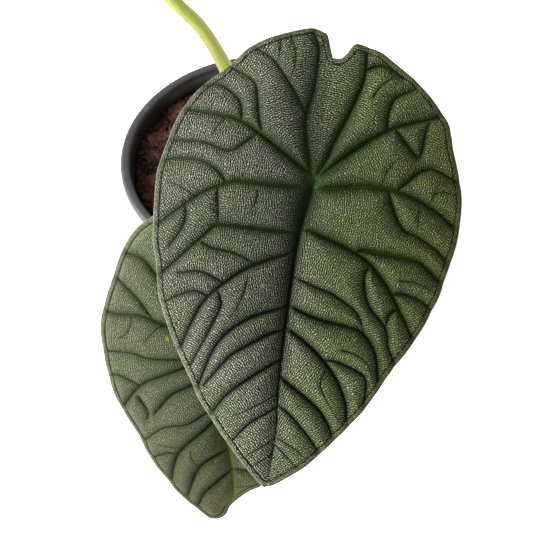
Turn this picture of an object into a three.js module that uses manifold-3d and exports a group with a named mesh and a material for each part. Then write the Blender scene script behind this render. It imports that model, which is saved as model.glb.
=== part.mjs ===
// A potted alocasia melo: three quilted shield leaves on arching stems, in a round nursery pot of soil.
// Millimetres, +Z up. The origin is the middle of the pot's flat base, and the front leaf leans towards -Y.
import * as THREE from 'three';
import Module from 'manifold-3d';

const wasm = await Module();
wasm.setup();

// Pot: a round nursery pot with a rolled lip.
const POT_HEIGHT = 92;
const RIM_RADIUS = 54;
const LIP_WIDTH = 3.6;
const LIP_DROP = 3.4;
const LIP_ROUND = 1.2;
const WALL = 1.5;
const BASE_RADIUS = 38;
const FOOT_ROUND = 1;
const FLOOR = 2;
const FLOOR_ROUND = 1.5;
const POT_SEGMENTS = 48;
const DRAIN_HOLES = 8;
const DRAIN_HOLE_RADIUS = 3.6;
const DRAIN_CIRCLE_RADIUS = 27;
const DRAIN_HOLE_SIDES = 10;

// Soil: fills the pot to a level below the lip, with a plain hole for the stem base.
const SOIL_LEVEL = 85;
const SOIL_CLEARANCE = 0.4;
const SOIL_SEGMENTS = 44;
const SOIL_RINGS = 6;
const SOIL_RELIEF = 1.3;
const SOIL_HOLE_RADIUS = 8.6;
const SOIL_HOLE_DEPTH = 15;
const SOIL_SEED = 41;

// Stems: the stem base and the three leaf stalks that grow from it.
const CROWN_CENTRE = [-2, 6];
const CROWN_RADIUS = 8;
const CROWN_HEIGHT = 13;
const CROWN_SHOULDER = 3;
const CROWN_TOP_RADIUS = 3.5;
const CROWN_SEGMENTS = 16;
const STALK_SIDES = 9;
const STALK_STEPS = 20;
const STALK_TIP_RADIUS = 1.9;
const STALK_RADIUS = 2.15;
const SHEATH_RADIUS = 3.9;
const SHEATH_LENGTH = 0.5;
const JOIN_GAP = 0.3;
const JOIN_REACH = 5;

// Blades: thick leathery plates whose veins are sunk between raised pillows.
const BLADE_THICKNESS = 0.9;
const SUBMARGIN_INSET = 1.75;
const SUBMARGIN_DEPTH = 1.1;
const RIM_DROP = 0.25;
const MIDRIB = { depth: 2.2, rib: 1.3 };
const MAIN_VEIN = { depth: 1.8, rib: 0.7 };
const SIDE_VEIN = { depth: 1.3, rib: 0.3 };
const GROOVE_SHARE = 0.5;
const GROOVE_WIDTH = 1.1;
const PILLOW_ROUND = 4.5;
const RIB_WIDTH = 1.5;
const HUB_BOSS = 1.3;
const HUB_RADIUS = 3.2;
const OUTLINE_STEP = 3.6;
const VEIN_STEP = 3.4;
const FLANK_OFFSET = 1.9;
const FLANK_CLEARANCE = 1.45;
const PILLOW_STEP = 5.4;
const PILLOW_CLEARANCE = 2.9;
const PILLOW_WOBBLE = 0.07;
const MERGE_DISTANCE = 1.05;
const ON_LINE = 0.01;
const BLADE_REACH = 100;
const SPLIT_PASSES = 5;

const degrees = (angle) => (angle * Math.PI) / 180;

// The front blade's outline and veins in its own plane: the stalk joins at 0, 0 and the tip points to -Y.
const FRONT_PATTERN = {
  outline: [
    [-9, 46.5], [-6, 46.5], [-4.2, 45.9], [-2.9, 45.1], [-0.5, 39], [0.5, 38.4], [2.4, 38.6],
    [4.1, 40.7], [5.6, 43.4], [7.2, 44.1], [10.6, 43.6], [13.9, 42.9], [17.3, 41.1], [27.9, 34.4],
    [37.3, 25.7], [39.8, 20.6], [41, 16.6], [44.5, 7.6], [46.4, 0], [46.9, -11.6], [44.8, -24.8],
    [43.4, -31.7], [38.6, -44.7], [32.3, -55.9], [24.8, -70.4], [16.9, -81.3], [8.6, -90.6],
    [2.9, -95.4], [0.4, -97.1], [-1, -97.3], [-3.2, -97], [-14, -86.4], [-25.2, -73.4],
    [-35.7, -56.6], [-41.9, -44.2], [-45, -31.8], [-47.1, -24.4], [-48.6, -7.2], [-48.3, -1.5],
    [-46.2, 8.8], [-44.4, 14.5], [-39.5, 23], [-33.4, 29.1], [-26.7, 37.3], [-23.3, 40], [-17.6, 43.1],
  ],
  midrib: [[0, 0], [-1.7, -13.4], [-2.3, -26], [-1.7, -63], [-0.5, -78.8], [-0.8, -95]],
  main: [
    [[0, 0], [-1.4, 2.9], [-5.1, 14.8], [-5.6, 19.4], [-4.5, 28.1], [-4.8, 40], [-7, 45]],
    [[0, 0], [3, 6.7], [4.6, 12.6], [8.2, 23.6], [10.6, 33.8], [10.1, 42]],
    [[0, 0], [12.5, 12.3], [20.3, 18.7], [24.3, 21], [32.6, 24.7], [35.5, 26]],
    [[0, 0], [1.3, -2.3], [12.8, -0.2], [19, 0.8], [29.5, 0.1], [39.3, -3.8], [45, -7.5]],
    [[-1.8, -15.5], [3.8, -16.3], [18.3, -21.3], [26.2, -28.1], [33, -37.3], [37.5, -44.5]],
    [[16.6, -20.3], [20.5, -19.4], [35.1, -20.1], [39, -22.1], [43.5, -25.6]],
    [[-1.9, -39.7], [7.6, -42.5], [17.6, -43.8], [21.8, -44.9], [26.6, -50.6], [28.8, -59]],
    [[-1.9, -46.9], [2.3, -48.8], [9.2, -53.5], [15.9, -60.6], [19.9, -68.1], [20.8, -73]],
    [[-1.6, -62.2], [10.3, -69.8], [15.2, -75.2], [17, -79]],
    [[0, 0], [-0.9, 2], [-5, 3.9], [-22.8, 13.7], [-32.5, 15.6], [-42, 16]],
    [[0, 0], [-1.3, -1.8], [-5.5, -3], [-21, -3.8], [-25.5, -4.8], [-34.2, -9.7], [-46.4, -21]],
    [[-1.9, -16.8], [-11.1, -17.4], [-26.3, -18], [-29.5, -20.3], [-35.7, -27.5], [-43, -36]],
    [[-2.1, -20.9], [-4.5, -23.8], [-9.2, -26], [-17.8, -31.1], [-26.9, -40.3], [-31, -49.1], [-33.6, -58]],
    [[-2.2, -39.4], [-4.5, -41], [-12.7, -44.7], [-19.2, -50.1], [-23.3, -57], [-26.5, -69]],
    [[-2, -47.2], [-7, -49.5], [-15, -55.1], [-18.6, -58.8], [-24.6, -68]],
    [[-1.8, -56.7], [-9.6, -62.6], [-16.6, -69.3], [-20.8, -76]],
  ],
  side: [
    [[-5.6, 19.4], [-8, 22.8], [-17.3, 34], [-24, 37.8]],
    [[10.5, 36.6], [16.1, 39], [22.5, 36.2]],
    [[19.9, 19.2], [19.6, 22.7], [20, 26.5], [21.4, 29.6], [26.5, 33]],
    [[22.6, 19.7], [27.9, 14.6], [31.4, 12.3], [32, 20.4], [33.4, 25.4]],
    [[26.5, 1.1], [30.8, 6.2], [33.3, 8.4], [37.3, 9.2], [44.5, 6.5]],
    [[23.5, 0.2], [25.1, -4.2], [29.6, -10.8], [34.3, -12.4], [40.9, -15.7], [44.8, -19]],
    [[30.2, -31.6], [32.7, -31.1], [38.6, -32.4], [42.4, -35.2]],
    [[20.9, -24.4], [19.9, -27.7], [22.3, -35.6], [28.7, -42.3], [30.5, -48.2], [33.4, -53.6]],
    [[-2.2, -30.6], [6.9, -33.1], [11.8, -34.5], [19.3, -38.9], [22.3, -44.6]],
    [[12.3, -55], [16.4, -55.3], [23.7, -58], [25.4, -61.3], [25.6, -67.6]],
    [[-1, -71.4], [2.9, -73.5], [9.4, -79.5], [13.3, -84]],
    [[-24.8, 14.6], [-25.5, 18.6], [-27.2, 21.5], [-32.8, 24.8], [-38, 24]],
    [[-18.2, 12.5], [-19.9, 17.2], [-21.1, 22.4], [-23.1, 27.1], [-31, 31]],
    [[-19.3, 11.4], [-24.7, 6.1], [-28.3, 4.9], [-35.5, 6.5], [-45.6, 6]],
    [[-26.8, -4.7], [-28.8, -2.2], [-34.9, 0.7], [-42.8, 0.5], [-47.2, -0.8]],
    [[-29, -6.6], [-27, -17.8]],
    [[-38.2, -12.6], [-37.6, -19.1], [-41.6, -27.5]],
    [[-31.4, -24.1], [-27.4, -25.3], [-20.5, -25.9], [-13.4, -28.4]],
    [[-23.5, -35.1], [-30.4, -33], [-37.5, -34.7]],
    [[-27.2, -40], [-32.1, -39.3], [-40.6, -44.2]],
    [[-24.7, -37.4], [-23.1, -40.3], [-23.1, -44.7], [-30, -63.5]],
    [[-1.1, -71.9], [-8.8, -77.9], [-13.6, -84.4]],
  ],
};

// The lower blade: its left half, with the right half's veins as a mirror image.
const LOWER_LEFT_MAIN = [
  [[0, 0], [-3.5, 9], [-6.5, 18], [-8.5, 27], [-9.5, 43.6]],
  [[0, 0], [-6, 4.5], [-13, 10], [-23.7, 18.8], [-26.9, 22.5], [-30.2, 24.3], [-35, 24.9]],
  [[0, 0], [-6, -1.2], [-20.2, 1], [-28.7, 3.4], [-37.6, 2.7], [-42, 3]],
  [[-0.5, -10], [-7.5, -12], [-19.7, -17.2], [-29.6, -23], [-36.4, -33]],
  [[-0.3, -17.5], [-6, -19], [-16.3, -23.7], [-19.9, -26.7], [-24.6, -33]],
  [[0, -32], [-5.2, -37], [-15.6, -47.8], [-19.3, -57.4], [-20.2, -64]],
  [[1, -48.5], [-7.8, -53.7], [-11.3, -59.5], [-14.6, -71]],
  [[1.6, -58.3], [-3.5, -63.1], [-8.3, -68.6], [-11, -76]],
];
const LOWER_LEFT_SIDE = [
  [[-24, 1.8], [-26.9, 5.4], [-30.2, 9.4], [-39, 16.6]],
  [[-6, -11.4], [-16.3, -11.3], [-27.1, -11.7], [-32.3, -10.8], [-42.2, -12.1]],
  [[-29.9, -23.1], [-36.8, -21], [-40.5, -21.3]],
  [[-30.8, -28], [-27.4, -33.8], [-28.3, -37.3]],
  [[-0.2, -27], [-11.9, -35.7], [-18.8, -37.6], [-23.1, -39.8], [-29.5, -47]],
  [[-17.5, -50.2], [-21.2, -50.7], [-26, -54]],
];
const MIRROR_SHIFT = 1.4;
const LOWER_TIP_BAND = -56;
const LOWER_RIGHT_TIP = [[[1.7, -57.6], [8.6, -58.5], [15, -60.5]]];
const mirrored = (paths) =>
  paths.map((path) => path.map(([x, y]) => [-x, y + MIRROR_SHIFT * Math.min(1, Math.abs(x) / 10)]));
const isAboveTip = (path) => path[0][1] > LOWER_TIP_BAND && path.at(-1)[1] > LOWER_TIP_BAND;

const LOWER_PATTERN = {
  outline: [
    [-25.7, 38.1], [-21.5, 40.8], [-16, 43.6], [-10.5, 45.2], [-6, 44.6], [-3, 42], [-1.4, 38.8],
    [0.4, 36.8], [2.4, 37.2], [3.8, 40], [6, 43.4], [10, 45.6], [15.5, 45], [21.5, 42], [27.5, 37.6],
    [33, 31.8], [37.5, 24.6], [40.8, 16.2], [42.8, 6.5], [43.3, -3.5], [42.3, -13.5], [39.8, -23],
    [36.3, -32], [32, -40.5], [27, -48.5], [21.5, -55.8], [12.6, -64.3], [7.9, -67.4], [3.2, -72.1],
    [0.2, -76.2], [-0.8, -79.1], [-2.8, -81.4], [-5.2, -82.3], [-8.5, -81.2], [-16.5, -73.1],
    [-20.9, -66.7], [-27.9, -55.1], [-32.7, -43.4], [-38.8, -32.4], [-42, -21.4], [-43.9, -8.8],
    [-44.1, -1], [-42.5, 6.4], [-38.9, 17.8], [-35.8, 26.6], [-31.2, 33.7],
  ],
  midrib: [[0, 0], [-0.6, -20], [-0.4, -45], [0.6, -50.7], [2, -67.2], [0.4, -75]],
  main: [...LOWER_LEFT_MAIN, ...mirrored(LOWER_LEFT_MAIN.filter(isAboveTip))],
  side: [...LOWER_LEFT_SIDE, ...mirrored(LOWER_LEFT_SIDE.filter(isAboveTip)), ...LOWER_RIGHT_TIP],
};

// The back blade: the front one's pattern turned over, narrower and gently skewed.
const BACK_WIDTH = 0.9;
const BACK_LENGTH = 0.93;
const BACK_SKEW = 0.0006;
const turnedOver = ([x, y]) => [-BACK_WIDTH * x + BACK_SKEW * y * y, BACK_LENGTH * y];
const BACK_PATTERN = {
  outline: FRONT_PATTERN.outline.map(turnedOver).reverse(),
  midrib: FRONT_PATTERN.midrib.map(turnedOver),
  main: FRONT_PATTERN.main.map((path) => path.map(turnedOver)),
  side: FRONT_PATTERN.side.map((path) => path.map(turnedOver)),
};

// Where each blade hangs: joint is where its stalk meets it, heading turns it from -Y towards -X,
// slope is how far the tip points down at the joint, and bend is how that grows along the blade.
const LEAVES = [
  {
    name: 'front',
    pattern: FRONT_PATTERN,
    joint: [16.2, -82.4, 166.9],
    heading: 16,
    slope: 37,
    bend: 0.094,
    bank: 9.5,
    droop: { left: 0.002, right: 0.002 },
    stalk: [[-1, 6, 72], [0, 5, 92], [3, -3, 118], [7, -19, 141], [10.5, -39, 155], [13.6, -61, 160]],
  },
  {
    name: 'lower',
    pattern: LOWER_PATTERN,
    joint: [-15.8, -90.5, 102.1],
    heading: 8,
    slope: 55.5,
    bend: 0.256,
    bank: 0,
    droop: { left: 0.0022, right: 0.0045 },
    stalk: [
      [-2.5, 4, 72], [-2.5, 1, 92], [-3.2, -12, 105], [-5.6, -33, 110], [-9, -55, 107],
      [-12.4, -73, 101],
    ],
  },
  {
    name: 'back',
    pattern: BACK_PATTERN,
    joint: [-52, 22, 204],
    heading: 150,
    slope: 36,
    bend: 0.16,
    bank: 0,
    droop: { left: 0.0024, right: 0.0024 },
    stalk: [
      [-3.5, 9, 72], [-4, 10, 92], [-6.2, 10.8, 110], [-10.6, 11, 128.1], [-17.8, 11, 147.4],
      [-26.9, 11, 161.6], [-36, 14, 175],
    ],
  },
];

// Materials.
const finish = (color, roughness) => new THREE.MeshStandardMaterial({ color, roughness, metalness: 0 });
const POT_FINISH = finish(0x3a3a3d, 0.55);
const SOIL_FINISH = finish(0x55403a, 1);
const STALK_FINISH = finish(0xb6ba58, 0.5);
const FRONT_FINISH = finish(0x5d6b55, 0.6);
const LOWER_FINISH = finish(0x76825f, 0.6);
const BACK_FINISH = finish(0x62705a, 0.6);

// Closed triangle meshes.
function closedGeometry(points, triangles) {
  const geometry = new THREE.BufferGeometry();
  geometry.setAttribute('position', new THREE.Float32BufferAttribute(points.flat(), 3));
  geometry.setIndex(triangles.flat());
  geometry.computeVertexNormals();
  return geometry;
}

function toSolid(points, triangles) {
  const mesh = new wasm.Mesh({
    numProp: 3,
    vertProperties: new Float32Array(points.flat()),
    triVerts: new Uint32Array(triangles.flat()),
  });
  return new wasm.Manifold(mesh);
}

function toGeometry(solid) {
  const mesh = solid.getMesh();
  const geometry = new THREE.BufferGeometry();
  geometry.setAttribute('position', new THREE.Float32BufferAttribute(mesh.vertProperties, 3));
  geometry.setIndex([...mesh.triVerts]);
  geometry.computeVertexNormals();
  return geometry;
}

// Rings of equal counts, lowest first, joined into one closed skin with a fan at each end.
function ringSkin(rings, firstCentre, lastCentre) {
  const count = rings[0].length;
  const points = [...rings.flat(), firstCentre, lastCentre];
  const first = rings.length * count;
  const last = first + 1;
  const triangles = [];
  for (let ring = 0; ring < rings.length - 1; ring += 1) {
    for (let k = 0; k < count; k += 1) {
      const next = (k + 1) % count;
      const a = ring * count + k;
      const b = ring * count + next;
      triangles.push([a, b, b + count], [a, b + count, a + count]);
    }
  }
  const top = (rings.length - 1) * count;
  for (let k = 0; k < count; k += 1) {
    const next = (k + 1) % count;
    triangles.push([first, next, k], [last, top + k, top + next]);
  }
  return { points, triangles };
}

const circlePoint = (centre, radius, angle, z) => [
  centre[0] + radius * Math.cos(angle),
  centre[1] + radius * Math.sin(angle),
  z,
];

function circle(centre, radius, z, count) {
  return Array.from({ length: count }, (_, k) => circlePoint(centre, radius, (2 * Math.PI * k) / count, z));
}

// A repeatable draw between 0 and 1.
function seededDraw(seed) {
  let state = seed >>> 0;
  return () => {
    state = (state + 0x6d2b79f5) >>> 0;
    let mixed = Math.imul(state ^ (state >>> 15), 1 | state);
    mixed = (mixed + Math.imul(mixed ^ (mixed >>> 7), 61 | mixed)) ^ mixed;
    return ((mixed ^ (mixed >>> 14)) >>> 0) / 4294967296;
  };
}

// Pot: its inner wall runs straight from the floor to the lip's inner edge.
function innerRadiusAt(z) {
  const share = (z - FLOOR) / (POT_HEIGHT - LIP_ROUND - FLOOR);
  const low = BASE_RADIUS - WALL;
  return low + (RIM_RADIUS - LIP_WIDTH - low) * share;
}

function potGeometry() {
  const axis = [0, 0];
  const lipInner = RIM_RADIUS - LIP_WIDTH;
  const underLip = POT_HEIGHT - LIP_DROP;
  const profile = [
    [BASE_RADIUS - FOOT_ROUND, 0],
    [BASE_RADIUS, FOOT_ROUND],
    [innerRadiusAt(underLip) + WALL, underLip],
    [RIM_RADIUS - LIP_ROUND / 2, underLip],
    [RIM_RADIUS, underLip + LIP_ROUND],
    [RIM_RADIUS - LIP_ROUND, POT_HEIGHT],
    [lipInner + LIP_ROUND, POT_HEIGHT],
    [lipInner, POT_HEIGHT - LIP_ROUND],
    [innerRadiusAt(FLOOR + FLOOR_ROUND), FLOOR + FLOOR_ROUND],
    [innerRadiusAt(FLOOR) - FLOOR_ROUND, FLOOR],
  ];
  const rings = profile.map(([radius, z]) => circle(axis, radius, z, POT_SEGMENTS));
  const shell = ringSkin(rings, [0, 0, 0], [0, 0, FLOOR]);
  let pot = toSolid(shell.points, shell.triangles);
  for (let k = 0; k < DRAIN_HOLES; k += 1) {
    const centre = circlePoint(axis, DRAIN_CIRCLE_RADIUS, (2 * Math.PI * (k + 0.5)) / DRAIN_HOLES, 0);
    const ends = [-1, FLOOR + 1].map((z) => circle(centre, DRAIN_HOLE_RADIUS, z, DRAIN_HOLE_SIDES));
    const drill = ringSkin(ends, [centre[0], centre[1], -1], [centre[0], centre[1], FLOOR + 1]);
    pot = pot.subtract(toSolid(drill.points, drill.triangles));
  }
  return toGeometry(pot);
}

// Soil: a crumbly top, sides that follow the pot's wall, and a blind hole for the stem base.
function soilGeometry() {
  const draw = seededDraw(SOIL_SEED);
  const axis = [0, 0];
  const bottom = FLOOR + SOIL_CLEARANCE;
  const outerTop = innerRadiusAt(SOIL_LEVEL) - SOIL_CLEARANCE;
  const outerBottom = innerRadiusAt(FLOOR + FLOOR_ROUND) - SOIL_CLEARANCE;
  const rings = [
    circle(axis, outerBottom - 2 * FLOOR_ROUND, bottom, SOIL_SEGMENTS),
    circle(axis, outerBottom, bottom + FLOOR_ROUND, SOIL_SEGMENTS),
    circle(axis, outerTop, SOIL_LEVEL, SOIL_SEGMENTS),
  ];
  for (let ring = 1; ring < SOIL_RINGS; ring += 1) {
    const share = ring / SOIL_RINGS;
    const centre = [CROWN_CENTRE[0] * share, CROWN_CENTRE[1] * share];
    const radius = outerTop + (SOIL_HOLE_RADIUS - outerTop) * share;
    const level = circle(centre, radius, SOIL_LEVEL, SOIL_SEGMENTS);
    rings.push(level.map(([x, y, z]) => [x, y, z + SOIL_RELIEF * (2 * draw() - 1)]));
  }
  rings.push(circle(CROWN_CENTRE, SOIL_HOLE_RADIUS, SOIL_LEVEL, SOIL_SEGMENTS));
  rings.push(circle(CROWN_CENTRE, SOIL_HOLE_RADIUS, SOIL_LEVEL - SOIL_HOLE_DEPTH, SOIL_SEGMENTS));
  const skin = ringSkin(rings, [0, 0, bottom], [...CROWN_CENTRE, SOIL_LEVEL - SOIL_HOLE_DEPTH]);
  return closedGeometry(skin.points, skin.triangles);
}

// The blade's bent sheet: x across and y along the blade, height up from it, all in the blade's own frame.
function bladeForm(leaf) {
  const heading = degrees(leaf.heading);
  const bank = degrees(leaf.bank);
  const slope = degrees(leaf.slope);
  const bend = degrees(leaf.bend);
  const up = new THREE.Vector3(0, 0, 1);
  const ahead = new THREE.Vector3(-Math.sin(heading), -Math.cos(heading), 0);
  const across = new THREE.Vector3(Math.cos(heading), -Math.sin(heading), 0);
  const joint = new THREE.Vector3(...leaf.joint);
  const frameAt = (y) => {
    const angle = slope - bend * y;
    const along = ahead.clone().multiplyScalar(Math.cos(angle)).addScaledVector(up, -Math.sin(angle));
    const normal = along.clone().cross(across);
    return {
      side: across.clone().multiplyScalar(Math.cos(bank)).addScaledVector(normal, -Math.sin(bank)),
      normal: normal.multiplyScalar(Math.cos(bank)).addScaledVector(across, Math.sin(bank)),
      middle: joint
        .clone()
        .addScaledVector(ahead, (Math.sin(angle) - Math.sin(slope)) / bend)
        .addScaledVector(up, (Math.cos(angle) - Math.cos(slope)) / bend),
    };
  };
  const pointAt = (x, y, height) => {
    const { side, normal, middle } = frameAt(y);
    const droop = (x < 0 ? leaf.droop.left : leaf.droop.right) * x * x;
    return middle.addScaledVector(side, x).addScaledVector(normal, height - droop);
  };
  return { pointAt, normalAt: (y) => frameAt(y).normal };
}

// Points of a smooth curve through the given ones, at about the given step.
function smoothPath(path, step, closed = false) {
  const curve = new THREE.CatmullRomCurve3(
    path.map(([x, y]) => new THREE.Vector3(x, y, 0)),
    closed,
    'catmullrom',
    0.5,
  );
  const pieces = Math.max(2, Math.round(curve.getLength() / step));
  const spaced = curve.getSpacedPoints(pieces).map((point) => [point.x, point.y]);
  if (closed) {
    spaced.pop();
  }
  return spaced;
}

function insideOutline([x, y], outline) {
  let inside = false;
  for (let k = 0, last = outline.length - 1; k < outline.length; last = k, k += 1) {
    const [ax, ay] = outline[k];
    const [bx, by] = outline[last];
    if (ay > y !== by > y && x < ((bx - ax) * (y - ay)) / (by - ay) + ax) {
      inside = !inside;
    }
  }
  return inside;
}

function segmentDistance([x, y], [ax, ay], [bx, by]) {
  const dx = bx - ax;
  const dy = by - ay;
  const share = ((x - ax) * dx + (y - ay) * dy) / (dx * dx + dy * dy || 1);
  const held = Math.min(1, Math.max(0, share));
  return Math.hypot(x - ax - held * dx, y - ay - held * dy);
}

function pathDistance(point, path, closed = false) {
  let nearest = Infinity;
  const count = closed ? path.length : path.length - 1;
  for (let k = 0; k < count; k += 1) {
    nearest = Math.min(nearest, segmentDistance(point, path[k], path[(k + 1) % path.length]));
  }
  return nearest;
}

// The outline moved inwards by a distance.
function insetOutline(outline, distance) {
  const count = outline.length;
  return outline.map(([x, y], k) => {
    const [ax, ay] = outline[(k + count - 1) % count];
    const [bx, by] = outline[(k + 1) % count];
    const length = Math.hypot(bx - ax, by - ay);
    const inward = [(by - ay) / length, (ax - bx) / length];
    const candidate = [x + inward[0] * distance, y + inward[1] * distance];
    return insideOutline(candidate, outline)
      ? candidate
      : [x - inward[0] * distance, y - inward[1] * distance];
  });
}

// Points on both sides of a path, each across from the middle of one of its steps.
function flankPoints(path, offset) {
  return path.slice(1).flatMap(([bx, by], k) => {
    const [ax, ay] = path[k];
    const length = Math.hypot(bx - ax, by - ay);
    const [nx, ny] = [((ay - by) / length) * offset, ((bx - ax) / length) * offset];
    const [mx, my] = [(ax + bx) / 2, (ay + by) / 2];
    return [[mx + nx, my + ny], [mx - nx, my - ny]];
  });
}

// A Delaunay triangulation by inserting one point at a time.
function triangulate(points) {
  const far = 10 * BLADE_REACH;
  const all = [...points, [-far, -far], [far, -far], [0, far]];
  const circumcircle = (a, b, c) => {
    const [ax, ay] = all[a];
    const [bx, by] = [all[b][0] - ax, all[b][1] - ay];
    const [cx, cy] = [all[c][0] - ax, all[c][1] - ay];
    const twice = 2 * (bx * cy - by * cx);
    const ux = (cy * (bx * bx + by * by) - by * (cx * cx + cy * cy)) / twice;
    const uy = (bx * (cx * cx + cy * cy) - cx * (bx * bx + by * by)) / twice;
    return { corners: [a, b, c], x: ax + ux, y: ay + uy, square: ux * ux + uy * uy };
  };
  let triangles = [circumcircle(points.length, points.length + 1, points.length + 2)];
  points.forEach(([x, y], index) => {
    const rim = new Map();
    triangles = triangles.filter((triangle) => {
      const reached = (x - triangle.x) ** 2 + (y - triangle.y) ** 2 < triangle.square;
      if (reached) {
        triangle.corners.forEach((from, k) => {
          const to = triangle.corners[(k + 1) % 3];
          if (!rim.delete(`${to},${from}`)) {
            rim.set(`${from},${to}`, [from, to]);
          }
        });
      }
      return !reached;
    });
    rim.forEach(([from, to]) => triangles.push(circumcircle(from, to, index)));
  });
  return triangles.map(({ corners }) => corners).filter((corners) => corners.every((k) => k < points.length));
}

// The blade's flat mesh: outline, a line inside the margin, veins and pillow points, joined so that
// every vein runs along edges.
function bladeNet(pattern) {
  const outline = smoothPath(pattern.outline, OUTLINE_STEP, true);
  const submargin = insetOutline(outline, SUBMARGIN_INSET);
  const points = [];
  const nearest = ([x, y]) => {
    let best = -1;
    let bestDistance = MERGE_DISTANCE;
    points.forEach(([px, py], index) => {
      const distance = Math.hypot(x - px, y - py);
      if (distance < bestDistance) {
        best = index;
        bestDistance = distance;
      }
    });
    return best;
  };
  const add = (point) => {
    const known = nearest(point);
    return known >= 0 ? known : points.push(point) - 1;
  };
  const rim = outline.map((point) => points.push(point) - 1);
  const marginLine = submargin.map(add);
  const veins = [
    { ...MIDRIB, path: smoothPath(pattern.midrib, VEIN_STEP) },
    ...pattern.main.map((path) => ({ ...MAIN_VEIN, path: smoothPath(path, VEIN_STEP) })),
    ...pattern.side.map((path) => ({ ...SIDE_VEIN, path: smoothPath(path, VEIN_STEP) })),
  ];
  const chains = [[...rim, rim[0]], [...marginLine, marginLine[0]]];
  const inBlade = (point) => insideOutline(point, submargin);
  veins.forEach(({ path }) => chains.push(path.filter(inBlade).map(add)));
  let edges = chains
    .flatMap((chain) => chain.slice(1).map((to, k) => [chain[k], to]))
    .filter(([from, to]) => from !== to);
  const addClear = (point, clearance) => {
    const isClear = ([px, py]) => Math.hypot(point[0] - px, point[1] - py) > clearance;
    if (inBlade(point) && points.every(isClear)) {
      points.push(point);
    }
  };
  veins.forEach(({ path }) => {
    flankPoints(path, FLANK_OFFSET).forEach((point) => addClear(point, FLANK_CLEARANCE));
  });
  const rowStep = PILLOW_STEP * Math.cos(Math.PI / 6);
  for (let row = 0; row * rowStep < 2 * BLADE_REACH; row += 1) {
    const shift = row % 2 === 0 ? 0 : PILLOW_STEP / 2;
    for (let x = shift - BLADE_REACH; x < BLADE_REACH; x += PILLOW_STEP) {
      const wobble = PILLOW_WOBBLE * Math.sin(7.3 * x + 3.1 * row);
      addClear([x + wobble, row * rowStep - BLADE_REACH - wobble], PILLOW_CLEARANCE);
    }
  }
  let triangles = triangulate(points);
  for (let pass = 0; pass < SPLIT_PASSES; pass += 1) {
    const known = new Set(triangles.flatMap(([a, b, c]) => [`${a},${b}`, `${b},${c}`, `${c},${a}`]));
    const isKnown = ([from, to]) => known.has(`${from},${to}`) || known.has(`${to},${from}`);
    const missing = edges.filter((edge) => !isKnown(edge));
    if (missing.length === 0) {
      break;
    }
    edges = edges.filter(isKnown);
    missing.forEach(([from, to]) => {
      const middle = [(points[from][0] + points[to][0]) / 2, (points[from][1] + points[to][1]) / 2];
      const index = points.push(middle) - 1;
      edges.push([from, index], [index, to]);
    });
    triangles = triangulate(points);
  }
  const mean = (corners, axis) => corners.reduce((sum, corner) => sum + points[corner][axis], 0) / 3;
  triangles = triangles.filter((corners) => insideOutline([mean(corners, 0), mean(corners, 1)], outline));
  return { points, triangles, outline, submargin, veins };
}

// How a vein's depth fades with distance: a narrow groove between rounded pillows.
function grooveShape(distance) {
  const groove = GROOVE_SHARE * Math.exp(-distance / GROOVE_WIDTH);
  return groove + (1 - GROOVE_SHARE) * Math.exp(-distance / PILLOW_ROUND);
}

// Height of the upper face, and how thick the blade is under it.
function bladeRelief(net, point) {
  const [x, y] = point;
  const margin = pathDistance(point, net.outline, true);
  if (margin < ON_LINE) {
    return { height: -RIM_DROP, thickness: BLADE_THICKNESS };
  }
  let dip = SUBMARGIN_DEPTH * grooveShape(Math.abs(margin - SUBMARGIN_INSET));
  let rib = 0;
  net.veins.forEach((vein) => {
    const distance = pathDistance(point, vein.path);
    dip = Math.max(dip, vein.depth * grooveShape(distance));
    rib = Math.max(rib, vein.rib * Math.exp(-((distance / RIB_WIDTH) ** 2)));
  });
  const boss = HUB_BOSS * Math.exp(-((Math.hypot(x, y) / HUB_RADIUS) ** 2));
  return { height: -dip, thickness: BLADE_THICKNESS + rib + boss };
}

function bladeGeometry(leaf) {
  const net = bladeNet(leaf.pattern);
  const form = bladeForm(leaf);
  const count = net.points.length;
  const upper = [];
  const lower = [];
  net.points.forEach((point) => {
    const { height, thickness } = bladeRelief(net, point);
    upper.push(form.pointAt(...point, height).toArray());
    lower.push(form.pointAt(...point, height - thickness).toArray());
  });
  const open = new Map();
  const triangles = [];
  net.triangles.forEach(([a, b, c]) => {
    triangles.push([a, b, c], [c + count, b + count, a + count]);
    [[a, b], [b, c], [c, a]].forEach(([from, to]) => {
      if (!open.delete(`${to},${from}`)) {
        open.set(`${from},${to}`, [from, to]);
      }
    });
  });
  open.forEach(([from, to]) => {
    triangles.push([to, from, from + count], [to, from + count, to + count]);
  });
  return toGeometry(toSolid([...upper, ...lower], triangles));
}

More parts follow.
